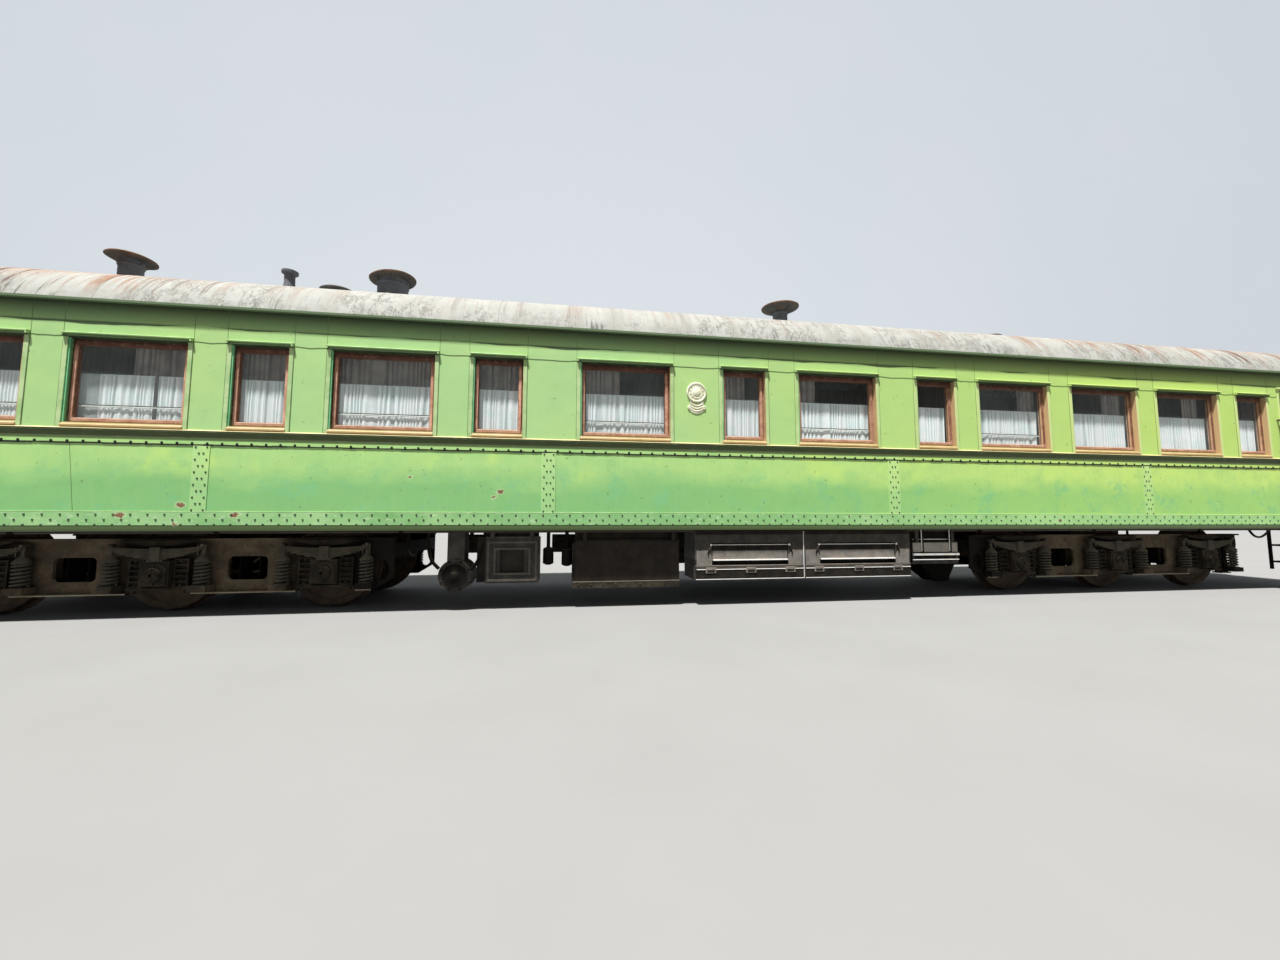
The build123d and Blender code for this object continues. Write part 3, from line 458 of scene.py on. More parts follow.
def green_paint():
    """Faded body paint: yellowish above, bluish along the foot, patched, worn and rusted in spots, with
    painted shade under the eave, the ledge and the band, and a painted highlight on the ledge's top.
    """
    s = Shade("body_green", roughness=0.5, specular=0.45)
    z = s.axis("Z")
    right = s.span(s.axis("X"), -1.0, 6.5)
    upper = s.blend(right, (170, 210, 139), (190, 220, 114))
    upper = s.coat(upper, s.patches(0.42, 0.66, 0.5, 0.7, 4, 0.6), 188, 218, 128)
    lower = s.blend(right, (174, 216, 132), (197, 227, 120))
    foot = s.blend(right, (134, 191, 118), (163, 210, 114))
    wavy = s.math("ADD", z, s.times(s.noise(0.8, 4, 0.6, (1, 1, 2.2)), 0.55))
    lower = s.mix(s.span(wavy, UPPER_LOW, 1.76), lower, foot)
    lower = s.coat(lower, s.patches(0.48, 0.70, 0.42, 1.9, 6, 0.7), 126, 188, 116)
    runs = s.patches(0.50, 0.72, 0.30, 5, 5, 0.7, (3.2, 1, 0.35))
    lower = s.coat(lower, runs, 150, 200, 130)
    sunny = s.patches(0.55, 0.68, 0.6, 2.3, 3, 0.5)
    lower = s.coat(lower, s.times(sunny, s.span(z, 1.55, 1.75)), 198, 230, 122)
    bluish = s.patches(0.53, 0.62, 0.6, 3.1, 7, 0.75)
    lower = s.coat(lower, s.times(bluish, s.span(z, 1.85, 1.60)), 126, 192, 134)
    for strap in STRAPS:
        lower = s.coat(lower, s.times(within(s, "X", strap - 0.088, strap + 0.088), 0.35), 200, 234, 160)
    base = s.mix(s.span(z, UPPER_LOW, UPPER_LOW - 0.01), upper, lower)
    band = s.blend(s.patches(0.35, 0.62, 1.0, 1.3, 5, 0.65), (120, 177, 108), (164, 207, 142))
    band = s.coat(band, s.times(within(s, "X", -2.4, 1.4, 0.8), 0.75), 130, 184, 116)
    band = s.coat(band, s.times(right, 0.6), 170, 217, 136)
    worn = s.patches(0.56, 0.62, 0.75, 16, 7, 0.75, (0.5, 1, 1.4))
    band = s.coat(band, worn, 196, 222, 176)
    base = s.mix(s.span(z, BAND_TOP + 0.002, BAND_TOP), base, band)
    # painted shadow: a dark line just under the band's lower edge, then painted shade deepening down the
    # turn-under
    base = s.coat(base, s.span(z, BAND_BOTTOM + 0.004, BAND_BOTTOM), 60, 84, 48)
    base = s.coat(base, s.span(z, BAND_BOTTOM - 0.007, BAND_BOTTOM - 0.011), 116, 146, 84)
    base = s.coat(base, s.span(z, BAND_BOTTOM - 0.030, BAND_BOTTOM - 0.075), 82, 92, 54)
    # painted shade under the ledge's top: darkest on its nose, lighter on the fascia below, with painted
    # highlight streaks
    highlight_streaks = s.patches(0.56, 0.66, 0.6, 7, 5, 0.7, (1, 1, 7))
    ledge_shade = s.blend(s.span(z, 2.104, 2.110), (84, 98, 58), (50, 60, 34))
    ledge_shade = s.coat(ledge_shade, highlight_streaks, 128, 136, 92)
    shaded = s.times(s.span(z, LEDGE_TOP - 0.004, LEDGE_TOP - 0.009), s.span(z, 2.022, 2.032))
    between_doors = s.span(s.away("X"), WALL_REACH, WALL_REACH - 0.01)
    base = s.mix(s.times(shaded, between_doors), base, ledge_shade)
    # painted highlight: pale on the faces of the ledge's top that look up
    pale = s.times(s.span(s.upward(), 0.3, 0.6), s.span(z, 2.09, 2.10))
    base = s.coat(base, s.times(pale, 0.9), 226, 200, 150)
    grime = s.ramp(s.noise(20, 6, 0.7), ((0.28, 0.74), (0.40, 1.0)))
    base = s.mix(0.5, base, grime, "MULTIPLY")
    chips = s.ramp(s.noise(13, 8, 0.8), ((0.356, 0.85), (0.366, 0.0)))
    base = s.coat(base, chips, 84, 90, 56)
    rust = s.blend(s.noise(50, 4, 0.7), (92, 60, 42), (158, 116, 84))
    base = s.coat(base, s.times(spots(s, 0.016), 0.6), 204, 222, 172)
    base = s.mix(spots(s), base, rust)
    # painted shadow under the eave, with some soot: darkest along the roof's edge, ending in a wavy line
    wave = s.math("ADD", z, s.times(s.noise(1.3, 2, 0.5, (1, 0.1, 0.1)), 0.12))
    painted_eave_shadow = s.mix(1.0, base, s.ramp(s.span(z, 3.30, 3.55), (
        (0.13, 0.20), (0.21, 0.72), (0.48, 0.50), (0.74, 0.27), (0.98, 0.09))), "MULTIPLY")
    on_side = s.span(s.away("Y"), HALF_W - 0.015, HALF_W - 0.008)
    base = s.mix(s.times(s.span(wave, 3.384, 3.390), on_side), base, painted_eave_shadow)
    s.feed(s.shader.inputs["Roughness"], s.ramp(s.noise(6, 4), ((0.3, 0.42), (0.7, 0.62))))
    s.bump((s.noise(1.6, 2), 0.03, 0.3), (s.noise(70, 4), 0.0012, 0.4))
    return s.done(base)


def plain_paint(name, tone, dark, roughness=0.55, right=None):
    """Body paint of one tone with worn and dirty patches, and another tone towards the right end."""
    s = Shade(name, roughness=roughness)
    worn = s.patches(0.4, 0.62, 1.0, 5, 6, 0.65)
    base = s.blend(worn, tone, dark)
    if right:
        base = s.coat(base, s.span(s.axis("X"), -1.0, 6.0), *right)
    s.bump((s.noise(60, 4), 0.001, 0.4))
    return s.done(base)


def roof_paint():
    """Old white roof paint: cracked and sooty along the eaves, rust that runs down from the top."""
    s = Shade("roof_white", roughness=0.78, specular=0.25)
    z = s.axis("Z")
    x = s.axis("X")
    base = s.blend(s.patches(0.35, 0.70, 1.0, 3.2, 6, 0.65), (238, 237, 226), (218, 219, 208), ROOF_LIGHT)
    low = s.span(z, 3.86, 3.60)
    soot = s.patches(0.51, 0.59, 0.42, 7.5, 9, 0.78, (1.0, 1.4, 1.4))
    base = s.coat(base, s.times(soot, low), 176, 177, 166, ROOF_LIGHT)
    cracks = s.ramp(s.noise(6, 9, 0.8, (1, 0.5, 0.5)), ((0.482, 0.0), (0.5, 1.0), (0.518, 0.0)))
    cracks = s.times(cracks, s.patches(0.42, 0.54, 1.0, 1.2, 4, 0.6))
    base = s.coat(base, cracks, 100, 92, 78, ROOF_LIGHT)
    bands = s.patches(0.50, 0.62, 0.45, 1.1, 3, 0.5, (3.5, 0.2, 0.2))
    base = s.coat(base, bands, 206, 202, 188, ROOF_LIGHT)
    marks = s.patches(0.54, 0.58, 0.75, 1.6, 8, 0.75, (18, 1.5, 1.5))
    marks = s.times(marks, s.patches(0.49, 0.55, 1.0, 0.8, 3))
    base = s.coat(base, s.times(marks, s.span(z, 3.86, 3.62)), 86, 88, 80, ROOF_LIGHT)
    ends = s.math("MAXIMUM", s.span(x, 3.6, 6.6), s.span(x, -5.6, -7.6))
    ends = s.math("ADD", s.times(ends, 0.75), 0.25)
    tint = s.blend(s.patches(0.35, 0.65, 1.0, 10, 6, 0.7), (166, 96, 56), (214, 164, 124), ROOF_LIGHT)
    patchy = s.patches(0.42, 0.58, 0.8, 2.6, 7, 0.7)
    patchy = s.times(patchy, s.span(z, 3.78, 4.12), ends)
    base = s.coat(base, patchy, 220, 178, 148, ROOF_LIGHT)
    runs = s.patches(0.53, 0.575, 1.0, 1.3, 8, 0.75, (6.5, 0.30, 0.30))
    runs = s.times(runs, s.span(z, 3.60, 3.88), ends)
    base = s.mix(runs, base, tint)
    thin = s.patches(0.565, 0.585, 0.95, 1.5, 7, 0.75, (8, 0.22, 0.22))
    thin = s.times(thin, s.patches(0.44, 0.48, 1.0, 0.9, 3, 0.5, (1, 0.2, 0.2)))
    thin = s.times(thin, s.span(z, 3.66, 3.78), ends)
    base = s.coat(base, thin, 116, 66, 42, ROOF_LIGHT)
    # painted shade: a darker line along the roof's lowest edge
    base = s.coat(base, s.span(z, 3.583, 3.577), 104, 124, 92)
    s.bump((s.noise(2.2, 3), 0.02, 0.35), (s.noise(45, 5, 0.7), 0.002, 0.5), (cracks, 0.002, 0.5))
    return s.done(base)


def iron_tone(s, tone, dusty, rusty, light, dust, rust):
    """Base colour of painted or bare iron with dust lying on it and rust in patches."""
    base = s.blend(s.patches(0.4, 0.62, 1.0, 5.5, 6, 0.7), tone, dusty, light)
    patches = s.times(s.patches(0.5, 0.64, 1.0, 8, 7, 0.75), rust)
    base = s.coat(base, patches, *rusty, light)
    lying = s.times(s.span(s.upward(), 0.15, 0.8), dust)
    base = s.mix(lying, base, s.blend(0.35, dusty, (190, 176, 150), light))
    fine = s.ramp(s.noise(90, 4, 0.7), ((0.3, 0.75), (0.6, 1.0)))
    return s.mix(0.7, base, fine, "MULTIPLY")


def worn_iron(name, tone, dusty, rusty, light=1.0, roughness=0.8, dust=1.0, rust=0.5, under=0.0):
    """Worn iron; under sets how strongly painted shade darkens the faces that look down."""
    s = Shade(name, roughness=roughness, specular=0.08 if max(tone) < 30 else 0.25)
    base = iron_tone(s, tone, dusty, rusty, light, dust, rust)
    if under:
        painted_shade = s.times(s.span(s.upward(), -0.05, -0.5), under)
        base = s.coat(base, painted_shade, 26, 27, 24, light)
    return s.done_iron(base)


def box_iron():
    """Paint of the boxes: grey batteries, a box with painted shade in its recess, a brown box, a black
    hopper, and painted shade in the slot under the battery lids.
    """
    s = Shade("box_paint", roughness=0.6)
    base = iron_tone(s, (47, 45, 42), (68, 64, 58), (70, 54, 40), BOX_LIGHT, 0.6, 0.2)
    brown = iron_tone(s, (31, 26, 21), (44, 37, 30), (52, 40, 30), BOX_LIGHT, 0.5, 0.3)
    in_brown_box = within(s, "X", -1.95, -0.50)
    base = s.mix(in_brown_box, base, brown)
    toe = s.times(in_brown_box, s.span(s.axis("Z"), 0.332, 0.328))
    patchy = s.patches(0.42, 0.6, 1.0, 6, 5, 0.7)
    base = s.mix(toe, base, s.blend(patchy, (32, 28, 21), (52, 47, 37), BOX_LIGHT))
    # painted shade in the box's recess
    recess = s.times(within(s, "X", -2.835, -2.535), within(s, "Z", 0.430, 0.776))
    base = s.coat(base, s.times(recess, 0.75), 30, 27, 22, BOX_LIGHT)
    black = s.times(within(s, "X", 2.85, 3.70), s.span(s.axis("Z"), 0.500, 0.496))
    base = s.coat(base, black, 5, 5, 4, BOX_LIGHT)
    s.feed(s.shader.inputs["Specular IOR Level"], s.math("SUBTRACT", 0.18, s.times(black, 0.16)))
    # painted shade in the slot under the battery lids
    slot = s.times(within(s, "X", -0.40, 2.82), within(s, "Z", 0.529, 0.600))
    base = s.coat(base, s.times(slot, 0.8), 14, 13, 12, BOX_LIGHT)
    return s.done_iron(base)


def truck_iron():
    """Bogie iron: dusty brown plates between the axles, oily black partly as painted shade round the
    axleboxes and springs, and painted shade at both ends of the frame.
    """
    s = Shade("truck_iron", roughness=0.85, specular=0.2)
    base = iron_tone(s, (58, 51, 41), (82, 72, 57), (72, 49, 36), BOGIE_LIGHT, 0.9, 0.4)
    # oily black round the axleboxes, partly painted shade
    from_pivot = s.math("SUBTRACT", s.away("X"), BOGIE_X - 2 * AXLES[2])
    away = s.math("PINGPONG", from_pivot, AXLES[2] / 2)
    ragged = s.math("ADD", away, s.times(s.noise(5, 5, 0.7), 0.25))
    oil_and_shade = s.span(ragged, 0.72, 0.50)
    black = iron_tone(s, (15, 14, 11), (36, 32, 25), (50, 36, 27), BOGIE_LIGHT, 1.0, 0.35)
    base = s.mix(s.times(oil_and_shade, 0.88), base, black)
    # painted shade: near black at both ends of the frame
    ends = s.span(s.math("ABSOLUTE", s.math("SUBTRACT", s.away("X"), BOGIE_X)), 2.02, 2.20)
    base = s.coat(base, s.times(ends, 0.95), 12, 11, 9, BOGIE_LIGHT)
    return s.done_iron(base)


def frame_wood():
    """Window wood with painted shade along the head: salmon and flaking on the left windows with the part
    beside the moulding brown as painted shade, tan at the edge on the right windows with the moulding brown
    as painted shade.
    """
    s = Shade("frame_wood", roughness=0.75, specular=0.25)
    z = s.axis("Z")
    right = s.span(s.axis("X"), -1.0, 5.0)
    cloud = s.patches(0.38, 0.62, 1.0, 7, 6, 0.7)
    # painted light and shade: on the left windows the raised moulding lighter pink and the rest brown as
    # painted shade, on the right the moulding brown as painted shade and the rest tan
    raised = s.span(s.away("Y"), FRAME_OUT + 0.003, FRAME_OUT + 0.009)
    pink = s.blend(cloud, (176, 124, 102), (222, 172, 144))
    brown = s.blend(cloud, (104, 68, 52), (138, 94, 72))
    tan = s.blend(cloud, (186, 140, 104), (218, 176, 134))
    base = s.mix(right, s.mix(raised, brown, pink), s.mix(raised, tan, brown))
    # painted shade along the head
    head = s.blend(cloud, (84, 52, 42), (112, 74, 60))
    base = s.mix(s.span(z, 3.03, 3.09), base, head)
    foot = s.blend(cloud, (164, 118, 94), (196, 156, 130))
    base = s.mix(s.span(z, 2.28, 2.24), base, foot)
    flaked = s.patches(0.56, 0.61, 1.0, 22, 7, 0.75)
    low = s.span(z, 2.34, 2.20)
    pale = s.times(flaked, s.math("ADD", s.times(low, 0.5), 0.25))
    base = s.coat(base, pale, 208, 194, 168)
    cracks = s.ramp(s.noise(30, 6, 0.8, (1, 1, 0.6)), ((0.36, 1.0), (0.40, 0.0)))
    base = s.coat(base, s.times(cracks, 0.75), 70, 50, 40)
    s.bump((s.noise(40, 6, 0.7), 0.002, 0.6), (flaked, 0.0015, 0.6))
    return s.done(base)


def clear_glass():
    """Old window glass under a thin even film of dust."""
    s = Shade("clear_glass", roughness=0.04, specular=0.6)
    dusty = s.ramp(s.noise(3, 5, 0.6), ((0.3, 0.06), (0.75, 0.13)))
    dusty = s.times(dusty, s.math("SUBTRACT", 1.0, s.times(within(s, "X", 0.9, 3.7, 0.2), 0.6)))
    s.feed(s.shader.inputs["Alpha"], dusty)
    return s.done(s.blend(s.noise(2, 3), (168, 182, 182), (196, 204, 200)))


def cloth(name, tone, dark, light, weave, valley=None, painted_shade=None, thin=0.0):
    """Woven cloth with a fine thread pattern and painted shade in the folds; thin lets some light through."""
    s = Shade(name, roughness=0.9, specular=0.15)
    s.shader.inputs["Sheen Weight"].default_value = 0.3
    if thin:
        s.shader.inputs["Transmission Weight"].default_value = thin
    base = s.blend(s.patches(0.35, 0.65, 1.0, 6, 5), tone, dark, light)
    place = {"Vector": s.coords.outputs["Object"], "Scale": weave, "Distortion": 1.5, "Detail": 2.0}
    net = s.times(*(
        s.add("ShaderNodeTexWave", place, wave_type="BANDS", bands_direction=letter).outputs["Fac"]
        for letter in "XZ"
    ))
    # painted shade in the folds: darker where the cloth lies further in
    if valley:
        low, high = valley
        base = s.coat(base, s.math("POWER", s.span(s.away("Y"), high, low), 1.4), *painted_shade, light)
    base = s.mix(0.25, base, s.ramp(net, ((0.0, 0.6), (0.6, 1.0))), "MULTIPLY")
    s.bump((net, 0.0006, 0.6))
    return s.done(base)


def wood_panel(name, tone, dark):
    """Varnished wood with vertical grain."""
    s = Shade(name, roughness=0.4, specular=0.4)
    grain = s.noise(2.2, 6, 0.65, (14, 14, 1))
    streaks = s.ramp(grain, ((0.35, 0.0), (0.65, 1.0)))
    base = s.blend(streaks, tone, dark, SHADE_LIGHT)
    s.bump((grain, 0.001, 0.4))
    return s.done(base)


def rubber():
    """Weathered rubber of the gangways."""
    s = Shade("gangway_rubber", roughness=0.75, specular=0.3)
    pale = s.patches(0.4, 0.7, 1.0, 7, 6, 0.7)
    base = s.blend(pale, (38, 37, 36), (74, 70, 64), 1.0)
    s.bump((s.noise(35, 5), 0.002, 0.5))
    return s.done(base)


GREEN = green_paint()
TRIM = plain_paint("trim_green", (192, 214, 156), (160, 194, 128), 0.55, (208, 224, 144))
# painted highlight on the hoods' upper edge
HOOD_HIGHLIGHT = plain_paint("hood_highlight_green", (200, 224, 164), (162, 198, 124), 0.55, (222, 232, 152))
SILL = plain_paint("sill_cream", (193, 162, 117), (174, 149, 97))
JAMB = plain_paint("jamb_green", (148, 204, 138), (104, 164, 108), 0.55, (150, 184, 104))
MINT = plain_paint("jamb_mint", (134, 212, 152), (108, 186, 126), 0.55, (196, 220, 140))
TAN = plain_paint("jamb_wood", (200, 166, 120), (170, 136, 96), 0.7, (222, 190, 138))
SEAM = plain_paint("seam_green", (104, 132, 80), (72, 94, 54), 0.7)
# painted shade under the hoods and at the window heads
SOFFIT_SHADE = plain_paint("soffit_shade_green", (58, 76, 42), (40, 54, 30), 0.8)
JOINT = plain_paint("joint_dark", (20, 26, 14), (34, 42, 24), 0.8)
RIVET = plain_paint("rivet_green", (66, 88, 48), (44, 60, 34), 0.6)
ROOF = roof_paint()
WOOD = frame_wood()
GLASS = clear_glass()
NET = cloth("net_cloth", (236, 250, 245), (218, 234, 230), 0.95, 260, (1.412, 1.430), (128, 146, 148), 0.12)
FLAT_NET = cloth("flat_net", (148, 158, 156), (126, 138, 136), 0.95, 200)
DRAPE = cloth("drape_cloth", (128, 124, 118), (104, 98, 94), 0.6, 160, (1.362, 1.380), (58, 52, 50))
PALE_METAL = worn_iron("plaque_metal", (252, 252, 226), (228, 228, 196), (150, 122, 92), 1.15, 0.5, 0.2, 0.25)
# painted shade on the vent iron's faces that look down
VENT = worn_iron("vent_iron", (84, 90, 92), (110, 106, 98), (128, 92, 68), VENT_LIGHT, 0.75, 0.5, 0.5, 0.3)
RIM = worn_iron("vent_rim", (104, 76, 58), (132, 98, 74), (92, 60, 42), VENT_LIGHT, 0.8, 0.3, 0.7)
BOX = box_iron()
# painted highlight: box frames and toe strips lighter than the box paint
BOXLIT = worn_iron("box_frame_highlight", (70, 67, 62), (90, 84, 76), (78, 62, 50), BOX_LIGHT, 0.6, 0.5, 0.2)
DARK = worn_iron("dark_paint", (24, 22, 19), (40, 36, 31), (44, 34, 26), BOX_LIGHT, 0.6, 0.6, 0.2)
LID = worn_iron("lid_paint", (94, 90, 84), (116, 110, 103), (100, 84, 70), BOX_LIGHT, 0.55, 0.6, 0.2)
PLATE = worn_iron("hopper_plate", (122, 117, 108), (142, 136, 126), (110, 92, 76), 0.66, 0.55, 0.6, 0.2)
# painted highlight: pale edges, lips, knobs and post edges on the boxes and lids
EDGE_HIGHLIGHT = worn_iron("edge_highlight", (228, 222, 212), (206, 198, 186), (150, 122, 96), 0.66, 0.45, 0.3, 0.2)
CHASSIS = worn_iron("running_iron", (13, 13, 12), (22, 20, 18), (28, 22, 17), SHADE_LIGHT, 0.85, 0.4, 0.35)
BLACK = worn_iron("deep_shade", (6, 6, 5), (12, 11, 9), (16, 12, 9), SHADE_LIGHT, 0.9, 0.2, 0.2)
PIPE = worn_iron("pipe_iron", (34, 33, 30), (46, 43, 38), (44, 36, 30), SHADE_LIGHT, 0.6, 0.4, 0.3)
TRUCK = truck_iron()
# painted shade on the spring steel's faces that look down
SPRING = worn_iron("spring_steel", (44, 41, 34), (64, 59, 48), (62, 46, 34), 0.50, 0.7, 0.3, 0.4, 0.9)
# painted highlight along the lower flange of the bogie frames
FLANGE_HIGHLIGHT = worn_iron("flange_highlight", (124, 118, 100), (100, 90, 74), (84, 62, 46), 0.50, 0.6, 0.8, 0.3)
WHEEL = worn_iron("wheel_steel", (44, 36, 29), (68, 56, 43), (72, 51, 37), SHADE_LIGHT, 0.7, 0.4, 0.6)
RAIL = worn_iron("rail_steel", (62, 60, 56), (92, 86, 76), (96, 68, 50), 1.0, 0.5, 0.5, 0.3)
# painted shade: the dark glazing bead along the glass's edge
BEAD_SHADE = plain_paint("glazing_bead_shade", (120, 84, 60), (88, 58, 42), 0.7, (104, 74, 52))
STEM = worn_iron("vent_stem", (108, 113, 120), (92, 94, 98), (112, 88, 72), VENT_LIGHT, 0.75, 0.3, 0.3)
BAR = worn_iron("bar_white", (236, 240, 234), (214, 218, 212), (180, 176, 160), 1.1, 0.5, 0.2, 0.1)
BRASS = worn_iron("brass", (150, 128, 84), (120, 104, 70), (96, 74, 48), 0.9, 0.4, 0.2, 0.3)
RUBBER = rubber()
FLOOR = wood_panel("floor_lining", (96, 66, 48), (70, 48, 36))
INNER = wood_panel("inner_wood", (92, 70, 54), (66, 50, 38))
CEILING = plain_paint("ceiling_cream", (150, 146, 130), (124, 120, 104), 0.7)

SLOT_MATERIALS = {
    "green_paint": GREEN,
    "roof_paint": ROOF,
    "vent_iron": VENT,
    "window_wood": WOOD,
    "glass": GLASS,
    "curtain_cloth": NET,
    "floor_lining": FLOOR,
    "inner_wood": INNER,
    "plaque_metal": PALE_METAL,
    "gangway_rubber": RUBBER,
    "box_paint": BOX,
    "wheel_steel": WHEEL,
    "spring_steel": SPRING,
    "rail_steel": RAIL,
    "running_iron": CHASSIS,
}


def dress_nodes():
    """Give every CAD node the detailed material of its slot."""
    for name, node in NODES.items():
        for place in node.material_slots:
            slot = place.material.name.split(".")[0]
            place.material = SLOT_MATERIALS[slot]
        if name.startswith(("bogie_frame", "brake_gear", "axleboxes")):
            node.material_slots[0].material = TRUCK
        if name.startswith("battery_lid"):
            node.material_slots[0].material = LID


def wall_rivets():
    """Rivets on both sides: three rows on the sole band and pairs on the straps."""
    heads = Shape()
    reach, pitch = WALL_REACH - 0.06, 0.165
    low, high, last = BAND_TOP + 0.015, STRAP_TOP - 0.028, 10
    for side in SIDES:
        for z, shift in (
            (BAND_BOTTOM + 0.008, 0.0), (BAND_BOTTOM + 0.062, pitch / 2), (BAND_TOP - 0.036, 0.0),
        ):
            for step in range(int((2 * reach - shift) / pitch) + 1):
                x = shift - reach + step * pitch
                heads.dome((x, side * (HALF_W + 0.008), z), (0, side, 0), 0.0130, 0.009)
        for strap in STRAPS:
            for row in range(last + 1):
                z = high - (high - low) * row / last
                column = 0.023 if row % 2 else 0.058
                for x in (strap - column, strap + column):
                    heads.dome((x, side * (HALF_W + 0.007), z), (0, side, 0), 0.012, 0.008)
    heads.piece("wall_rivets", RIVET, "green_paint")


def wall_trim():
    """Pale upright strips beside the windows, the cream sills under them, and a pale strip along the band's
    upper edge as painted highlight.
    """
    strips, sills = Shape(), Shape()
    reach = WALL_REACH - 0.01
    for side in SIDES:
        # painted highlight: the pale strip along the band's upper edge
        strips.on_wall(side, -reach, reach, 0.0095, BAND_TOP - 0.006, BAND_TOP + 0.001)
    for side, x, width in OPENINGS:
        left, right = x - width / 2, x + width / 2
        for edge, near in ((-1, left), (1, right)):
            strips.on_wall(side, near, near + edge * 0.044, 0.007, WINDOW_SILL - 0.046, WINDOW_HEAD + 0.006)
        sills.bar_x(left, right, [(side * (HALF_W + proud), WINDOW_SILL - drop) for proud, drop in (
            (-0.002, 0.002), (0.020, 0.022), (0.020, 0.040), (-0.002, 0.046))])
        sills.side_box(side, left, right, FRAME_OUT, HALF_W - 0.002, WINDOW_SILL, WINDOW_SILL + 0.006)
    strips.piece("window_strips", TRIM, "green_paint", bevel=0.002)
    sills.piece("window_sills", SILL, "green_paint", bevel=0.002)


def wall_joints():
    """Joint lines beside and over the windows, and the black ragged line and rivets under the ledge."""
    seams, line = Shape(), Shape()
    reach, pitch = WALL_REACH - 0.03, 0.151
    for side in SIDES:
        for x, width in WINDOWS:
            for edge in SIDES:
                at = x + edge * (width / 2 + 0.050)
                seams.on_wall(side, at - 0.002, at + 0.002, 0.0015, LEDGE_TOP + 0.01, EAVE)
        slant = [(-7.312, BAND_TOP), (-7.308, BAND_TOP), (-7.396, STRAP_TOP), (-7.400, STRAP_TOP)]
        seams.prism(slant, side, SKIN, HALF_W + 0.0015)
        x = -reach
        while x < reach:
            step = random.uniform(0.05, 0.18)
            z = STRAP_TOP + 0.004 + random.uniform(-0.002, 0.002)
            thick = random.uniform(0.012, 0.021)
            line.on_wall(side, x, min(x + step, reach), 0.0075, z - thick, z)
            x += step
        for step in range(int(2 * reach / pitch)):
            spot = (0.06 - reach + step * pitch, side * (HALF_W + 0.006), STRAP_TOP + 0.014)
            line.dome(spot, (0, side, 0), 0.0155, 0.010)
        ends = [(x - w / 2 - 0.045, x + w / 2 + 0.045) for x, w in WINDOWS]
        marks = [-reach] + [mark for pair in ends for mark in pair] + [reach]
        for a, b in zip(marks[::2], marks[1::2]):
            count = max(int((b - a) / 0.09), 4)
            wave = random.uniform(0, math.tau)
            path = []
            for i in range(count + 1):
                share = i / count
                sag = -0.010 * math.sin(math.pi * share) + 0.004 * math.sin(wave + share * 9)
                path.append((a + (b - a) * share, side * (HALF_W + 0.001), WINDOW_HEAD + 0.018 + sag))
            seams.tube(path, 0.0035, 6)
    seams.piece("panel_seams", SEAM, "green_paint")
    line.piece("ragged_joint", JOINT, "green_paint")


def hood_caps():
    """Painted highlight on the upper edge of each window hood, and painted shade under it and at the
    opening's head.
    """
    caps, soffit_shades = Shape(), Shape()
    top = WINDOW_HEAD + 0.044
    for side, x, width in OPENINGS:
        half = width / 2 + 0.046
        caps.bar_x(x - half, x + half, [(side * (HALF_W + proud), top + rise) for proud, rise in (
            (-0.001, 0.010), (0.041, 0.003), (0.043, -0.005), (0.039, -0.006), (-0.001, -0.002))])
        soffit_shades.on_wall(side, x - half + 0.002, x + half - 0.002, 0.034, top - 0.044, top - 0.036)
        soffit_shades.side_box(side, x - width / 2, x + width / 2, FRAME_OUT - 0.002, HALF_W,
                         WINDOW_HEAD - 0.004, WINDOW_HEAD)
    soffit_shades.piece("hood_soffit_shades", SOFFIT_SHADE, "green_paint")
    caps.piece("hood_caps", HOOD_HIGHLIGHT, "green_paint", bevel=0.001)


def picture_frame(shape, side, x, z, width, height, section):
    """Four mitred bars round an opening, from a section of (distance in from the edge, distance out)."""
    shape.skin([
        [(x + sx * (width / 2 - inset), side * out, z + sz * (height / 2 - inset)) for inset, out in section]
        for sx, sz in ((-1, -1), (1, -1), (1, 1), (-1, 1))
    ], loop=True)


def window_frames():
    """Moulded wooden frames with a dark glazing bead as painted shade along the glass's edge, in place of the
    plain CAD ones.
    """
    wood, bead, mint = Shape(), Shape(), Shape()
    jambs = {-1: Shape(), 1: Shape()}
    mid_z, height = (WINDOW_SILL + WINDOW_HEAD) / 2, WINDOW_HEAD - WINDOW_SILL
    inner, raised = FRAME_OUT - FRAME_DEPTH, FRAME_OUT + RAISED
    moulding = (
        (0.0, inner), (0.0, FRAME_OUT), (0.020, FRAME_OUT), (0.026, raised), (0.056, raised),
        (FRAME_BAR, FRAME_OUT - 0.004), (FRAME_BAR, inner),
    )
    beading = (
        (0.064, FRAME_OUT - 0.026), (0.064, FRAME_OUT - 0.014),
        (0.068, FRAME_OUT - 0.017), (0.070, FRAME_OUT - 0.026),
    )
    for side, x, width in OPENINGS:
        for shape, section in ((wood, moulding), (bead, beading)):
            picture_frame(shape, side, x, mid_z, width, height, section)
        for edge, jamb in jambs.items():
            face = x + edge * width / 2
            jamb.side_box(side, face, face - edge * 0.003, FRAME_OUT - 0.002, HALF_W + 0.006,
                          WINDOW_SILL, WINDOW_HEAD)
        left = x - width / 2
        mint.side_box(side, left + 0.002, left + 0.018, HALF_W - 0.018, HALF_W - 0.004,
                      WINDOW_SILL + 0.006, WINDOW_HEAD - 0.004)
    made = wood.piece("moulded_frames", WOOD, "window_wood", bevel=0.0015)
    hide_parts("window_frames")
    bead.piece("glazing_beads", BEAD_SHADE, "window_wood")
    jambs[-1].piece("window_jambs_green", JAMB, "green_paint")
    jambs[1].piece("window_jambs_wood", TAN, "window_wood")
    mint.piece("jamb_edges", MINT, "green_paint")


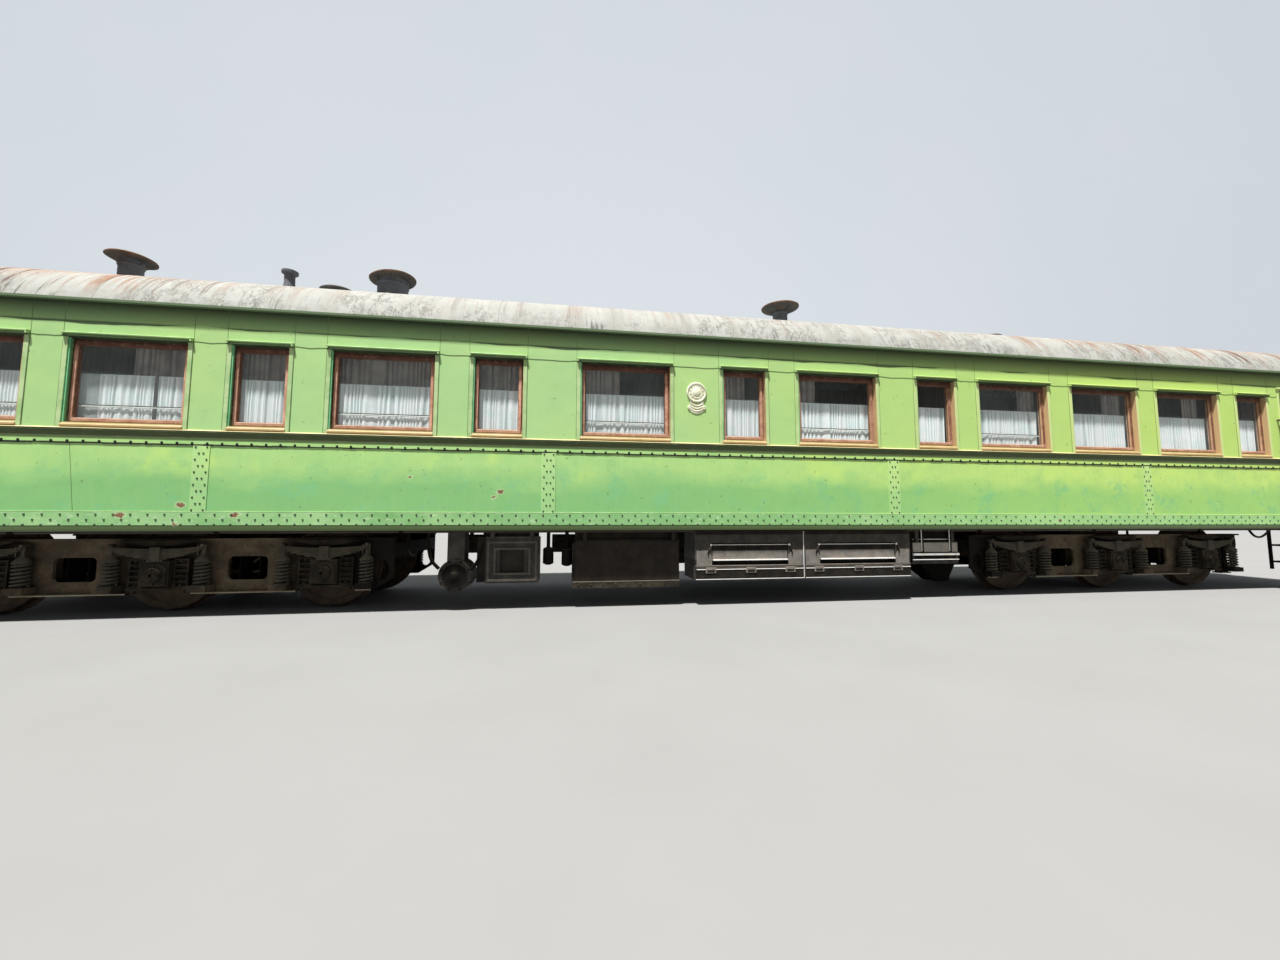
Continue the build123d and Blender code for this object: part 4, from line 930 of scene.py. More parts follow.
def gathered_cloth(name, x0, x1, side, out, top, pitch, depth, material, seed, loose=0.0):
    """Curtain gathered on a rod: folds of uneven width and depth that wander towards an uneven hem."""
    chance = random.Random(seed)
    folds = max((x1 - x0) / pitch, 2)
    across, down = max(int(folds * 10), 24), 18
    shift = [chance.uniform(0, math.tau) for _ in range(6)]
    points = []
    for j in range(down + 1):
        fall = j / down
        ruffle = 0.5 if fall < 0.03 else 1.35 - 0.35 * min((fall - 0.03) / 0.25, 1.0)
        for i in range(across + 1):
            share = i / across
            drift = 0.05 * math.sin(share * 9 + shift[0]) + 0.022 * math.sin(share * 23 + shift[1])
            drift += 0.012 * fall * math.sin(share * 31 + shift[2])
            phase = math.tau * folds * (share + drift) + shift[3]
            swell = 0.72 + 0.28 * math.sin(share * 17 + shift[4])
            wave = math.sin(phase) + 0.25 * math.sin(2.7 * phase + shift[5])
            hang = 0.010 * math.sin(share * 7 + shift[3]) + 0.006 * math.cos(phase)
            x = x0 + (x1 - x0) * share + loose * fall * (share - 0.5)
            z = top + (CURTAIN_LOW + 0.014 - top) * fall + hang * fall
            points.append((x, side * (out + depth * swell * wave * ruffle * 0.62), z))
    faces = []
    for j in range(down):
        for i in range(across):
            a = j * (across + 1) + i
            faces.append((a, a + 1, a + across + 2, a + across + 1))
    made = new_object(name, points, faces, material)
    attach(made, "root")
    return made


CURTAIN_TOP = RAIL_TOP + 2.745
CURTAIN_LOW = WINDOW_SILL + 0.002
CURTAIN_OUT = 1.424
ROD_OUT = CURTAIN_OUT - 0.017
CURTAIN_BAR_OUT = 1.4415
DRAPE_OUT = 1.372
# The second window's net hangs flat up to one share of its width and is drawn apart at another.
PARTED = {2: (0.19, 0.68)}
# Drapes drawn aside behind the net curtains of the -Y side: low X, high X.
DRAPES = (
    (-6.980, -6.330), (-5.868, -5.278), (-4.805, -3.645), (-3.173, -2.583), (-1.846, -1.330),
    (0.051, 0.420), (1.137, 1.470), (4.800, 5.100), (6.350, 6.700), (7.900, 8.200),
)


def curtains():
    """Net curtains at every window, drapes at some, the rods that carry them, and white bars with dark rods
    of painted shadow.
    """
    rods, bars, bar_shadows = Shape(), Shape(), Shape()
    for side, word in SIDE_WORDS:
        for number, (x, width) in enumerate(WINDOWS, 1):
            name = f"net_{word}_{number}"
            half = width / 2 - 0.022
            short = 0.055 if x > 3 else 0.03
            spans = [(x - half, x + half - short)]
            if number in PARTED:
                flat, split = (x - half + 2 * half * share for share in PARTED[number])
                spans = [(flat, split - 0.015), (split + 0.02, x + half - short)]
                gathered_cloth(f"{name}c", x - half, flat, side, CURTAIN_OUT - 0.004, CURTAIN_TOP,
                                           0.11, 0.003, FLAT_NET, 3)
            for part, (a, b) in zip("ab", spans):
                gathered_cloth(f"{name}{part}", a, b, side, CURTAIN_OUT, CURTAIN_TOP,
                                           0.058, 0.012, NET, number * 7 + ord(part), -0.012)
            rods.rod(x - half - 0.03, x + half + 0.03, side * ROD_OUT, CURTAIN_TOP - 0.006, 0.004)
            if width > 1 and x < 5:
                # white bars, and dark rods just above them as painted shadow lines
                for z, shape, radius in ((2.366, bars, 0.0070), (2.382, bar_shadows, 0.0060)):
                    shape.rod(x - half, x + half, side * CURTAIN_BAR_OUT, RAIL_TOP + z, radius)
    for number, (x0, x1) in enumerate(DRAPES, 1):
        gathered_cloth(f"drape_{number}", x0, x1, -1, DRAPE_OUT, WINDOW_HEAD + 0.055,
                                   0.075, 0.011, DRAPE, number * 5)
        rods.rod(x0 - 0.05, x1 + 0.05, 0.018 - DRAPE_OUT, WINDOW_HEAD + 0.045, 0.008)
    rods.piece("curtain_rods", BRASS, "curtain_cloth")
    bars.piece("curtain_bars", BAR, "curtain_cloth")
    bar_shadows.piece("curtain_bar_shadows", DARK, "curtain_cloth")
    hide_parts("curtains")


def roof_outline():
    """The roof's outer curve from one eave over the crown to the other, as (y, z) points."""
    shoulder = (1.150, CROWN - 0.250)
    mid = ((ROOF_HALF + shoulder[0]) / 2 + 0.075 * 0.75, (EAVE + shoulder[1]) / 2 + 0.075 * 0.66)
    side = arc((ROOF_HALF, EAVE), mid, shoulder, 10)
    crown = arc(shoulder, (0, CROWN), (-shoulder[0], shoulder[1]), 20)
    return side + crown[1:] + [(-y, z) for y, z in side[-2::-1]]


def roof_seams():
    """Raised seams across the roof sheets."""
    seams = Shape()
    for x in steps(-10.2, 10.3, 1.46):
        rings = []
        for y, z in roof_outline():
            away = Vector((0, y, z - 2.6)).normalized()
            base = Vector((x, y, z)) - away * 0.002
            rings.append([base + away * lift + Vector((shift, 0, 0)) for shift, lift in (
                (-0.012, 0.0), (-0.006, 0.006), (0.006, 0.006), (0.012, 0.0))])
        seams.skin(rings)
    seams.piece("roof_seams", ROOF, "roof_paint")


# Ventilators: X, stem radius, cap radius, height of the top, lean of the cap towards -Y and +X,
# and whether the cap is coned below.
MUSHROOMS = (
    (-8.210, 0.135, 0.275, 4.930, 0, 2, False),
    (-4.700, 0.215, 0.325, 4.905, 0, -6, False),
    (1.630, 0.122, 0.312, 4.905, 1, -1, True),
)
# Low domes: X, radius, height of the top. Chimney: X, neck, foot and cap radius, height of the top.
LOW_DOMES = ((-5.470, 0.245, 4.615), (5.790, 0.200, 4.590))
CHIMNEY = (-6.150, 0.070, 0.135, 0.108, 4.835)


def roof_vents():
    """Dented ventilators with rusty rims, the chimney and the low domes, in place of the plain ones."""
    iron, rims, stems = Shape(), Shape(), Shape()
    foot = CROWN - 0.050
    for x, stem, cap, top, lean_near, lean_front, coned in MUSHROOMS:
        rim = top - 0.095
        collar = stem + 0.012
        stems.post(x, foot, (
            (foot, stem + 0.045), (CROWN + 0.012, stem + 0.045), (CROWN + 0.020, collar),
            (CROWN + 0.055, stem), (rim - 0.130, stem), (rim - 0.120, collar), (rim - 0.100, collar),
            (rim - 0.090, stem), (rim - 0.025, stem),
        ), 40)
        near, front = math.radians(lean_near), math.radians(lean_front)
        up = Vector((math.sin(front), -math.sin(near), 1.0)).normalized()
        under = -0.090 if coned else -0.034
        hat = (
            (under, stem), (under * 0.8, stem + 0.05), (-0.018, cap - 0.010), (-0.012, cap), (0.004, cap),
            (0.018, cap - 0.022), (0.048, cap * 0.68), (0.076, cap * 0.30), (0.092, cap * 0.07),
        )
        edge = ((-0.016, cap - 0.006), (-0.011, cap + 0.003), (0.002, cap + 0.003), (0.007, cap - 0.006))
        centre = Vector((x, 0, rim))
        iron.lathe(centre, up, hat, 44, 0.008)
        rims.lathe(centre, up, edge, 44, 0.010)
        for k in range(6):
            spoke = Matrix.Rotation(math.tau * k / 6, 3, up) @ up.orthogonal().normalized()
            brace = [centre - up * 0.105 + spoke * stem, centre - up * 0.022 + spoke * (cap - 0.04)]
            iron.tube(brace, 0.006, 6)
    for x, radius, top in LOW_DOMES:
        dome = [(foot, radius * 0.8)] + [(top - drop, radius * share) for drop, share in (
            (0.115, 0.8), (0.100, 0.97), (0.088, 1), (0.062, 1), (0.040, 0.86), (0.016, 0.5), (0.003, 0.1))]
        iron.post(x, foot, dome, 40)
    x, neck, flare, cap, top = CHIMNEY
    low, waist = CROWN + 0.020, top - 0.190
    curve = arc((flare, low), (neck + (flare - neck) * 0.42, (CROWN + waist) / 2), (neck, waist), 10)
    stems.post(x, foot, [(foot, flare), (low, flare)] + [(z, radius) for radius, z in curve[1:]] + [
        (top - 0.066, neck), (top - 0.050, cap - 0.004), (top - 0.046, cap), (top - 0.014, cap),
        (top - 0.006, cap * 0.7), (top, cap * 0.1)], 32)
    stems.piece("vent_stems", STEM, "vent_iron")
    made = iron.piece("turned_vents", VENT, "vent_iron")
    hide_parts("roof_vents")
    rims.piece("vent_rims", RIM, "vent_iron")


BATTERY_OUT = 1.456
BATTERY_X = (-0.330, 1.204, 2.810)
LID_MARGIN = 0.240
LID_LOW, LID_TOP = 0.588, 0.790
BOX_OUT = 1.345
HOPPER_OUT = 1.400
FLOOR_UNDER = 1.000
CYLINDER_X, CYLINDER_Z = -3.37, 0.432


def battery_trim():
    """Upper angle, curved arms, rib clips, side cheeks and post edges of the battery boxes, with painted
    highlight lines on the lower edge, a rail, the knobs and the post.
    """
    dark, lit, highlights = Shape(), Shape(), Shape()
    face = BATTERY_OUT
    rails = (
        # piece, inset at both ends, proud of the face from and to, height from and to
        (dark, 0.010, 0.0, 0.0120, 0.930, 0.968),
        (dark, 0.010, 0.0, 0.0125, 0.356, 0.462),
        (highlights, 0.010, 0.0, 0.0100, 0.341, 0.350),
        (highlights, 0.015, 0.0165, 0.0185, 0.470, 0.478),
        (lit, 0.015, 0.0, 0.0060, 0.480, 0.526),
    )
    boss = ((0.0, 0.014), (0.010, 0.014), (0.015, 0.009))
    arm = arc((0.016, LID_TOP - 0.010), (0.050, LID_TOP - 0.055), (0.064, LID_TOP - 0.125), 6)
    for side in SIDES:
        for a, b in zip(BATTERY_X, BATTERY_X[1:]):
            for shape, inset, proud0, proud1, z0, z1 in rails:
                shape.side_box(side, a + inset, b - inset, face + proud0, face + proud1, z0, z1)
            left, right = a + LID_MARGIN, b - LID_MARGIN
            for edge, x, wall in ((-1, left, a), (1, right, b)):
                near, far = x + edge * 0.010, wall - edge * 0.020
                cheek = [(near, 0.530), (far, 0.530), (far, 0.716), (x + edge * 0.070, 0.722), (near, 0.640)]
                lit.prism(cheek, side, face, face + 0.004)
                spot = (x + edge * 0.022, side * (face + 0.004), LID_TOP + 0.004)
                highlights.lathe(spot, (0, side, 0), boss, 14)
                dark.tube([(x + edge * dx, side * (face + 0.010), z) for dx, z in arm], 0.010, 8)
            for x in (left - 0.03, (a + b) / 2, right + 0.03):
                lit.side_box(side, x - 0.070, x + 0.070, face + 0.0135, face + 0.020, 0.425, 0.500)
                dark.side_box(side, x - 0.052, x + 0.052, face + 0.020, face + 0.023, 0.438, 0.468)
            for k in range(8):
                x = a + 0.10 + (b - a - 0.20) * k / 7
                dark.bolt((x, side * (face + 0.012), 0.949), (0, side, 0), 0.009, 0.006)
        joint = BATTERY_X[1]
        highlights.side_box(side, joint - 0.013, joint - 0.008, face + 0.004, face + 0.0165, 0.345, 0.972)
    dark.piece("battery_fittings", DARK, "box_paint", bevel=0.001)
    lit.piece("battery_cheeks", LID, "box_paint", bevel=0.001)
    highlights.piece("battery_edges", EDGE_HIGHLIGHT, "box_paint")


def box_trim():
    """Frames, carrier rails, straps and toe strips of the boxes and the hopper under the -Y side. The frames
    and toe strips are lighter as painted highlight; the hopper's lips and pipe edges are painted highlight
    lines.
    """
    trim, dark, highlights, lit, black = Shape(), Shape(), Shape(), Shape(), Shape()
    y, hopper = BOX_OUT, HOPPER_OUT
    for inset, proud in ((0.02, 0.008), (0.10, 0.014)):
        section = ((0.0, y - 0.002), (0.0, y + proud), (0.026, y + proud), (0.026, y - 0.002))
        picture_frame(trim, -1, -2.6825, 0.603, 0.655 - 2 * inset, 0.540 - 2 * inset, section)
    for x in (-2.96, -2.405):
        for z in (0.37, 0.62, 0.86):
            trim.bolt((x, -(y + 0.008), z), (0, -1, 0), 0.011, 0.008)
    trim.side_boxes(
        -1,
        (-1.93, -0.52, y + 0.002, y + 0.0185, 0.324, 0.332),
        (-3.01, -2.355, y - 0.06, y, 0.898, 0.910),
    )
    dark.side_boxes(
        -1,
        (-3.115, -3.012, y - 0.055, y - 0.010, 0.345, 0.905),
        (-3.01, -2.355, y - 0.050, y - 0.030, 0.905, FLOOR_UNDER),
        (-1.90, -0.52, y - 0.050, y - 0.030, 0.865, FLOOR_UNDER),
        (-1.925, -1.895, y, y + 0.007, 0.335, 0.795),
        (-1.86, -0.53, y, y + 0.007, 0.842, 0.862),
    )
    dark.prism([(-1.925, 0.795), (-1.860, 0.862), (-1.840, 0.862), (-1.895, 0.795)], -1, y, y + 0.007)
    black.side_boxes(
        -1,
        (2.89, 3.625, y - 0.010, y + 0.010, 0.812, FLOOR_UNDER),
        (2.93, 3.59, hopper, hopper + 0.004, 0.570, 0.618),
    )
    for i in range(9):
        dark.bolt((-1.85 + i * 0.16, -(y + 0.017), 0.290), (0, -1, 0), 0.010, 0.007)
    for x in (3.05, 3.50):
        dark.side_box(-1, x - 0.020, x + 0.020, hopper, hopper + 0.012, 0.50, FLOOR_UNDER)
        highlights.side_box(-1, x - 0.020, x - 0.010, hopper + 0.010, hopper + 0.014, 0.68, 0.99)
    lit.side_box(-1, 2.90, 3.615, hopper, hopper + 0.006, 0.668, 0.800)
    highlights.side_boxes(
        -1,
        (2.89, 3.625, hopper, hopper + 0.028, 0.622, 0.650),
        (2.89, 3.625, hopper, hopper + 0.018, 0.556, 0.566),
        (2.93, 3.60, hopper - 0.044, hopper - 0.036, 0.842, 0.852),
    )
    black.piece("hopper_box_head", CHASSIS, "box_paint")
    trim.piece("box_frames", BOXLIT, "box_paint", bevel=0.0015)
    dark.piece("box_straps", DARK, "box_paint", bevel=0.0015)
    lit.piece("hopper_box_plate", PLATE, "box_paint", bevel=0.001)
    highlights.piece("hopper_box_edges", EDGE_HIGHLIGHT, "box_paint")


def lid_trim():
    """Painted shade on the head, a pressed border and a painted highlight on the lower lip of each battery
    lid, riding on that lid.
    """
    back, face = BATTERY_OUT - 0.008, BATTERY_OUT
    for side, word in SIDE_WORDS:
        for number, (low, high) in enumerate(zip(BATTERY_X, BATTERY_X[1:]), 1):
            a, b = low + LID_MARGIN, high - LID_MARGIN
            lid = f"{word}_{number}"
            head, lip = Shape(), Shape()
            head.side_box(side, a, b, back - 0.001, back + 0.003, 0.716, LID_TOP - 0.002)
            head.piece(f"lid_head_{lid}", DARK, "box_paint", f"battery_lid_{lid}")
            lip.side_box(side, a, b, back - 0.012, face + 0.0145, LID_LOW + 0.011, LID_LOW + 0.014)
            lip.side_box(side, a, b, face + 0.0135, face + 0.0155, LID_LOW, LID_LOW + 0.014)
            lip.rod(a, b, side * (face - 0.0055), LID_TOP + 0.0045, 0.0042, 6)
            lip.piece(f"lid_lip_{lid}", EDGE_HIGHLIGHT, "box_paint", f"battery_lid_{lid}")


def bend(points, count=6):
    """Round a route's corners: a Bezier-like path through the middles of its runs."""
    points = [Vector(p) for p in points]
    path = [points[0]]
    for i in range(1, len(points) - 1):
        a = (points[i - 1] + points[i]) / 2
        c = (points[i] + points[i + 1]) / 2
        for k in range(count + 1):
            t = k / count
            path.append(a * (1 - t) ** 2 + points[i] * 2 * t * (1 - t) + c * t * t)
    path.append(points[-1])
    return path


def pipes():
    """Brake pipes under the floor and at the cylinder, two drain pots and a bent pipe at the front step."""
    iron, line = Shape(), Shape()
    for side in SIDES:
        line.rod(-10.6, 10.6, side * 1.385, 0.980, 0.019, 12)
        for x in range(-10, 11, 2):
            iron.side_box(side, x - 0.02, x + 0.02, 1.355, 1.415, 0.957, 1.001)
    for radius, sides, *route in (
        (0.021, 12, (-3.70, -1.30, 1.0), (-3.70, -1.32, 0.80), (-3.66, -1.34, 0.62), (-3.56, -1.34, 0.52)),
        (0.021, 12, (-3.02, -1.30, 1.0), (-3.05, -1.32, 0.78), (-3.10, -1.34, 0.60), (-3.18, -1.34, 0.50)),
        (0.018, 10, (-3.95, -1.25, 1.0), (-3.95, -1.28, 0.72), (-3.86, -1.30, 0.66), (-3.82, -1.30, 0.76)),
        (0.016, 10, (9.18, -1.30, 0.96), (9.24, -1.32, 0.86), (9.36, -1.33, 0.84), (9.50, -1.34, 0.93),
         (9.56, -1.34, 0.99)),
    ):
        iron.tube(bend(route), radius, sides)
    x, z = CYLINDER_X, CYLINDER_Z
    cover = ((0, 0.155), (0.008, 0.150), (0.014, 0.06), (0.024, 0.045))
    iron.lathe((x, -BOX_OUT - 0.016, z), (0, -1, 0), cover, 32)
    for across, up in circle(8, 0.180):
        iron.bolt((x + across, -BOX_OUT, z + up), (0, -1, 0), 0.014, 0.014)
    pot = ((0, 0.03), (0.02, 0.068), (0.21, 0.070), (0.23, 0.03))
    for x, low in ((-2.24, 0.54), (-2.00, 0.52)):
        iron.tube([(x, -1.20, FLOOR_UNDER), (x, -1.20, low + 0.2)], 0.024, 10)
        iron.lathe((x, -1.20, low + 0.23), (0, 0, -1), pot, 20)
    line.piece("brake_line", PIPE, "running_iron")
    iron.piece("brake_pipes", CHASSIS, "running_iron")


# Bogie sizes, about its own pivot.
LEAVES = 8
LEAF_HALF = 0.500
LEAF_THICK = 0.016
LEAF_RISE = 0.030
LEAF_LOW = RAIL_TOP + 0.747
LEAF_OUT = 1.085
COIL_SHIFT = 0.480
COIL_LOW, COIL_TOP = RAIL_TOP + 0.312, RAIL_TOP + 0.592
FRAME_TOP = RAIL_TOP + 0.865
PLATE_OUT = 0.990
BOX_FACE = 1.125
COVER_Z = RAIL_TOP + 0.442
COLUMN_MID = 0.238


def springs():
    """Leaf packs, coils and their hangers of one bogie about its own pivot."""
    steel = Shape()
    low, high = COIL_LOW, COIL_TOP
    seat = ((0, 0.090), (0.012, 0.090), (0.018, 0.05))
    cap = ((0, 0.082), (0.018, 0.082), (0.062, 0.044), (0.080, 0.022), (0.185, 0.020))
    roll = ((0, 0.020), (0.006, 0.024), (0.094, 0.024), (0.101, 0.018))
    for side in SIDES:
        for axle in AXLES:
            for leaf in range(LEAVES):
                half = LEAF_HALF * (1 - (leaf / LEAVES) ** 2)
                width = 0.045 - 0.001 * (leaf % 2)
                y0, y1 = side * (LEAF_OUT - width), side * (LEAF_OUT + width)
                rings = []
                for i in range(15):
                    shift = half * (2 * i / 14 - 1)
                    top = LEAF_LOW + LEAF_RISE * (shift / LEAF_HALF) ** 2 - leaf * LEAF_THICK
                    under = top - LEAF_THICK + 0.003
                    corners = ((y0, under), (y1, under), (y1, top), (y0, top))
                    rings.append([(axle + shift, y, z) for y, z in corners])
                steel.skin(rings)
            steel.side_box(side, axle - 0.055, axle + 0.055, LEAF_OUT - 0.056, LEAF_OUT + 0.056, 0.634, 0.795)
            steel.side_box(side, axle - 0.085, axle + 0.085, LEAF_OUT - 0.060, LEAF_OUT + 0.050, 0.628, 0.648)
            for edge in SIDES:
                x = axle + edge * COIL_SHIFT
                y = side * LEAF_OUT
                steel.helix((x, y), 0.068, 0.0145, low + 0.008, high + 0.004, 6.5)
                steel.lathe((x, y, low - 0.004), (0, 0, 1), seat, 20)
                steel.lathe((x, y, high - 0.002), (0, 0, 1), cap, 20)
                steel.lathe((x, y, low), (0, 0, 1), ((0, 0.018), (0.300, 0.018)), 10)
                eye = axle + edge * (LEAF_HALF - 0.014)
                end = (eye, side * (LEAF_OUT - 0.050), LEAF_LOW + LEAF_RISE + 0.008)
                steel.lathe(end, (0, side, 0), roll, 16)
                for x in (eye - 0.04, eye + 0.04):
                    out = LEAF_OUT + 0.045
                    steel.side_box(side, x - 0.006, x + 0.006, out, out + 0.004, 0.700, 0.815)
    return steel


def truck_fittings():
    """Rivets, rims, nuts, covers, transom webs and inner plates black as painted shade, and painted highlight
    lines on the lower flange, of one bogie about its own pivot.
    """
    iron, webs, edges = Shape(), Shape(), Shape()
    cover = ((0, 0.088), (0.006, 0.084), (0.012, 0.050), (0.015, 0.02))
    nut = ((0, 0.026), (0.026, 0.026), (0.027, 0.014), (0.040, 0.014))
    for side in SIDES:
        outward = (0, side, 0)
        plate = side * PLATE_OUT
        for x in (-0.915, 0.915):
            for step in range(4):
                for z in (0.790, 0.300):
                    iron.dome((x + (step - 1.5) * 0.170, plate, z), outward, 0.015, 0.011, 8)
        for axle in AXLES:
            iron.lathe((axle, side * (BOX_FACE + 0.040), COVER_Z), outward, cover, 28)
            for across, up in circle(6, 0.112):
                iron.bolt((axle + across, side * (BOX_FACE + 0.020), COVER_Z + up), outward, 0.011, 0.011)
            for across, up in ((0.078, 0.014), (0.014, 0.078)):
                iron.side_box(side, axle - across, axle + across, BOX_FACE + 0.040, BOX_FACE + 0.058,
                              COVER_Z - up, COVER_Z + up)
            spout = [(axle + dx, COVER_Z - drop) for dx, drop in (
                (-0.030, 0.085), (0.030, 0.085), (0.020, 0.118), (-0.020, 0.118))]
            iron.prism(spout, side, BOX_FACE + 0.018, BOX_FACE + 0.045)
            for edge in SIDES:
                for z in (0.335, 0.625):
                    iron.bolt((axle + edge * COLUMN_MID, plate + side * 0.070, z), outward, 0.013, 0.012)
                iron.lathe((axle + edge * 0.280, plate + side * 0.040, 0.282), (0, 0, -1), nut, 6)
                for z in (0.60, 0.69):
                    iron.dome((axle + edge * 0.365, plate, z), outward, 0.014, 0.010, 8)
        # painted shade: black webs and inner plates stand for the deep shade inside the bogie
        for x in (-1.025, -0.805, 0.805, 1.025):
            webs.side_box(side, x - 0.006, x + 0.006, 0.0, 0.952, 0.400, 0.692)
        for x0, x1 in ((-1.66, -0.16), (0.16, 1.66)):
            webs.side_box(side, x0, x1, 0.385, 0.397, 0.320, 0.700)
        # painted highlight lines along the lower flange
        for x0, x1 in ((-2.36, -2.17), (-1.49, -0.34), (0.34, 1.49), (2.17, 2.36)):
            edges.side_box(side, x0, x1, PLATE_OUT + 0.0545, PLATE_OUT + 0.0565, 0.234, 0.248)
        for k in range(25):
            spot = (-2.52 + k * 0.21, plate + side * 0.0555, FRAME_TOP - 0.0125)
            iron.dome(spot, outward, 0.009, 0.006, 8)
    return iron, webs, edges


def bogies():
    """Springs and fittings of both bogies."""
    steel = springs()
    iron, webs, edges = truck_fittings()
    for name, end in ENDS:
        body = "bogie_" + name
        made = steel.shifted(end * BOGIE_X).piece("springs_" + name, SPRING, "spring_steel", body)
        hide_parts("bogie_springs_" + name)
        for shape, word, material in (
            (iron, "truck_fittings_", TRUCK), (webs, "transom_shade_webs_", BLACK), (edges, "flange_highlights_", FLANGE_HIGHLIGHT),
        ):
            shape.shifted(end * BOGIE_X).piece(word + name, material, "running_iron", body)


BUFFER_OUT = 0.875
BUFFER_Z = RAIL_TOP + 1.060


def buffers():
    """Smooth buffers with stepped casings, in place of the CAD ones."""
    steel = Shape()
    foot = HALF_L + 0.110
    rows = (
        (0.0, 0.150), (0.022, 0.150), (0.028, 0.118), (0.060, 0.104), (0.220, 0.094), (0.225, 0.102),
        (0.298, 0.102), (0.302, 0.060), (0.455, 0.060), (0.462, 0.090), (0.470, 0.222), (0.474, 0.225),
        (0.486, 0.225), (0.490, 0.215),
    )
    for _, end in ENDS:
        for side in SIDES:
            steel.lathe((end * foot, side * BUFFER_OUT, BUFFER_Z), (end, 0, 0), rows, 40)
            for across, up in circle(4, 0.132):
                spot = (end * (foot + 0.022), side * BUFFER_OUT + across, BUFFER_Z + up)
                steel.bolt(spot, (end, 0, 0), 0.014, 0.012)
    made = steel.piece("turned_buffers", CHASSIS, "running_iron")
    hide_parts("buffers")


def plaque():
    """Bare casting: beaded rim, domed middle and a plain scroll below, in place of the CAD one."""
    cast = Shape()
    x, z, radius = -0.320, RAIL_TOP + 2.790, 0.135
    cast.lathe((x, -HALF_W, z), (0, -1, 0), (
        (0.0, radius), (0.010, radius + 0.001), (0.018, radius - 0.005), (0.018, radius - 0.018),
        (0.010, radius - 0.026), (0.011, 0.084), (0.017, 0.078), (0.013, 0.070), (0.020, 0.052),
        (0.026, 0.028), (0.0275, 0.006),
    ), 56, 0.003)
    for across, up in circle(30, 0.1235, 0):
        cast.dome((x + across, -HALF_W - 0.017, z + up), (0, -1, 0), 0.009, 0.008, 8)
    for k in range(12):
        angle = math.tau * (k + 0.5) / 12
        spoke = [(x + r * math.cos(angle + d), z + r * math.sin(angle + d))
                 for r, d in ((0.060, -0.12), (0.100, 0.0), (0.060, 0.12))]
        cast.prism(spoke, -1, HALF_W + 0.010, HALF_W + 0.016)
    foot = z - 0.285
    under = arc((x - 0.110, foot + 0.064), (x, foot), (x + 0.110, foot + 0.064), 12)
    over = arc((x + 0.085, z - 0.102), (x, z - 0.155), (x - 0.085, z - 0.102), 12)
    cast.prism(under + over, -1, HALF_W, HALF_W + 0.009)
    for share in (0.20, 0.50, 0.80):
        end_z = foot + 0.066 + share * 0.10
        band = arc((x - 0.106, end_z), (x, foot + 0.006 + share * 0.12), (x + 0.106, end_z), 12)
        narrow = 0.16 * share
        cast.tube([(px * (1 - narrow) + x * narrow, -HALF_W - 0.010, pz) for px, pz in band], 0.006, 6)
    curl = ((0, 0.022), (0.012, 0.022), (0.018, 0.014), (0.012, 0.008))
    for edge in SIDES:
        cast.lathe((x + edge * 0.104, -HALF_W, foot + 0.080), (0, -1, 0), curl, 16)
    made = cast.piece("cast_plaque", PALE_METAL, "plaque_metal")
    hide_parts("plaque")


END_PITCH = 0.120


def end_details():
    """Rivets of the end walls, and pleats of the gangways."""
    heads, folds = Shape(), Shape()
    fold_z = DOOR_HEAD + 0.150
    for _, end in ENDS:
        x = end * HALF_L
        places = [(side * (HALF_W - 0.045), z) for side in SIDES for z in steps(1.10, 3.50, END_PITCH)]
        places += [(side * 0.66, z) for side in SIDES for z in steps(1.40, 3.40, END_PITCH)]
        places += [(y, 1.12) for y in steps(-1.40, 1.41, END_PITCH) if abs(y) > 0.62]
        for y, z in places:
            heads.dome((x, y, z), (end, 0, 0), 0.0125, 0.008)
        for step in range(4):
            start = x + end * (0.045 + step * 0.055)
            pleat = ((start, 0.0), (start + end * 0.022, 0.052), (start + end * 0.044, 0.0))
            for side in SIDES:
                folds.skin([
                    [(at, side * (0.500 + out), z) for at, out in pleat] for z in (FLOOR_TOP - 0.02, fold_z)
                ])
            folds.skin([[(at, y, fold_z + out) for at, out in pleat] for y in (-0.500, 0.500)])
    heads.piece("end_rivets", RIVET, "green_paint")
    folds.piece("gangway_pleats", RUBBER, "gangway_rubber")


DOOR_FACE = 1.485


def door_details():
    """Glass beads, kick plates and locks with their handles on the vestibule's side doors."""
    low, high = FLOOR_TOP + 0.008, DOOR_HEAD - 0.008
    face = DOOR_FACE
    glass = ((-0.030, face - 0.002), (-0.030, face + 0.008), (0.0, face + 0.012), (0.004, face - 0.02))
    panel = ((-0.020, face - 0.002), (-0.016, face + 0.006), (0.0, face + 0.006), (0.004, face - 0.008))
    for end_name, end in ENDS:
        for side, word in SIDE_WORDS:
            x = end * DOOR_X
            door = f"{end_name}_{word}"
            paint, brass = Shape(), Shape()
            picture_frame(paint, side, x, high - 0.590, 0.400, 0.720, glass)
            picture_frame(paint, side, x, low + 0.470, 0.400, 0.580, panel)
            paint.side_box(side, x - 0.32, x + 0.32, face, face + 0.004, low + 0.02, low + 0.15)
            paint.piece(f"door_trim_{door}", TRIM, "green_paint", f"side_door_{door}", 0.0015)
            lock = x + end * 0.284
            brass.side_box(side, lock - 0.028, lock + 0.028, face, face + 0.005, low + 0.86, low + 1.04)
            brass.tube(bend([(lock, side * (face + 0.045), low + 0.95),
                             (lock - end * 0.05, side * (face + 0.052), low + 0.95),
                             (lock - end * 0.13, side * (face + 0.048), low + 0.945)], 3), 0.010, 8)
            brass.piece(f"door_lock_{door}", BRASS, "rail_steel", f"side_door_{door}", 0.001)


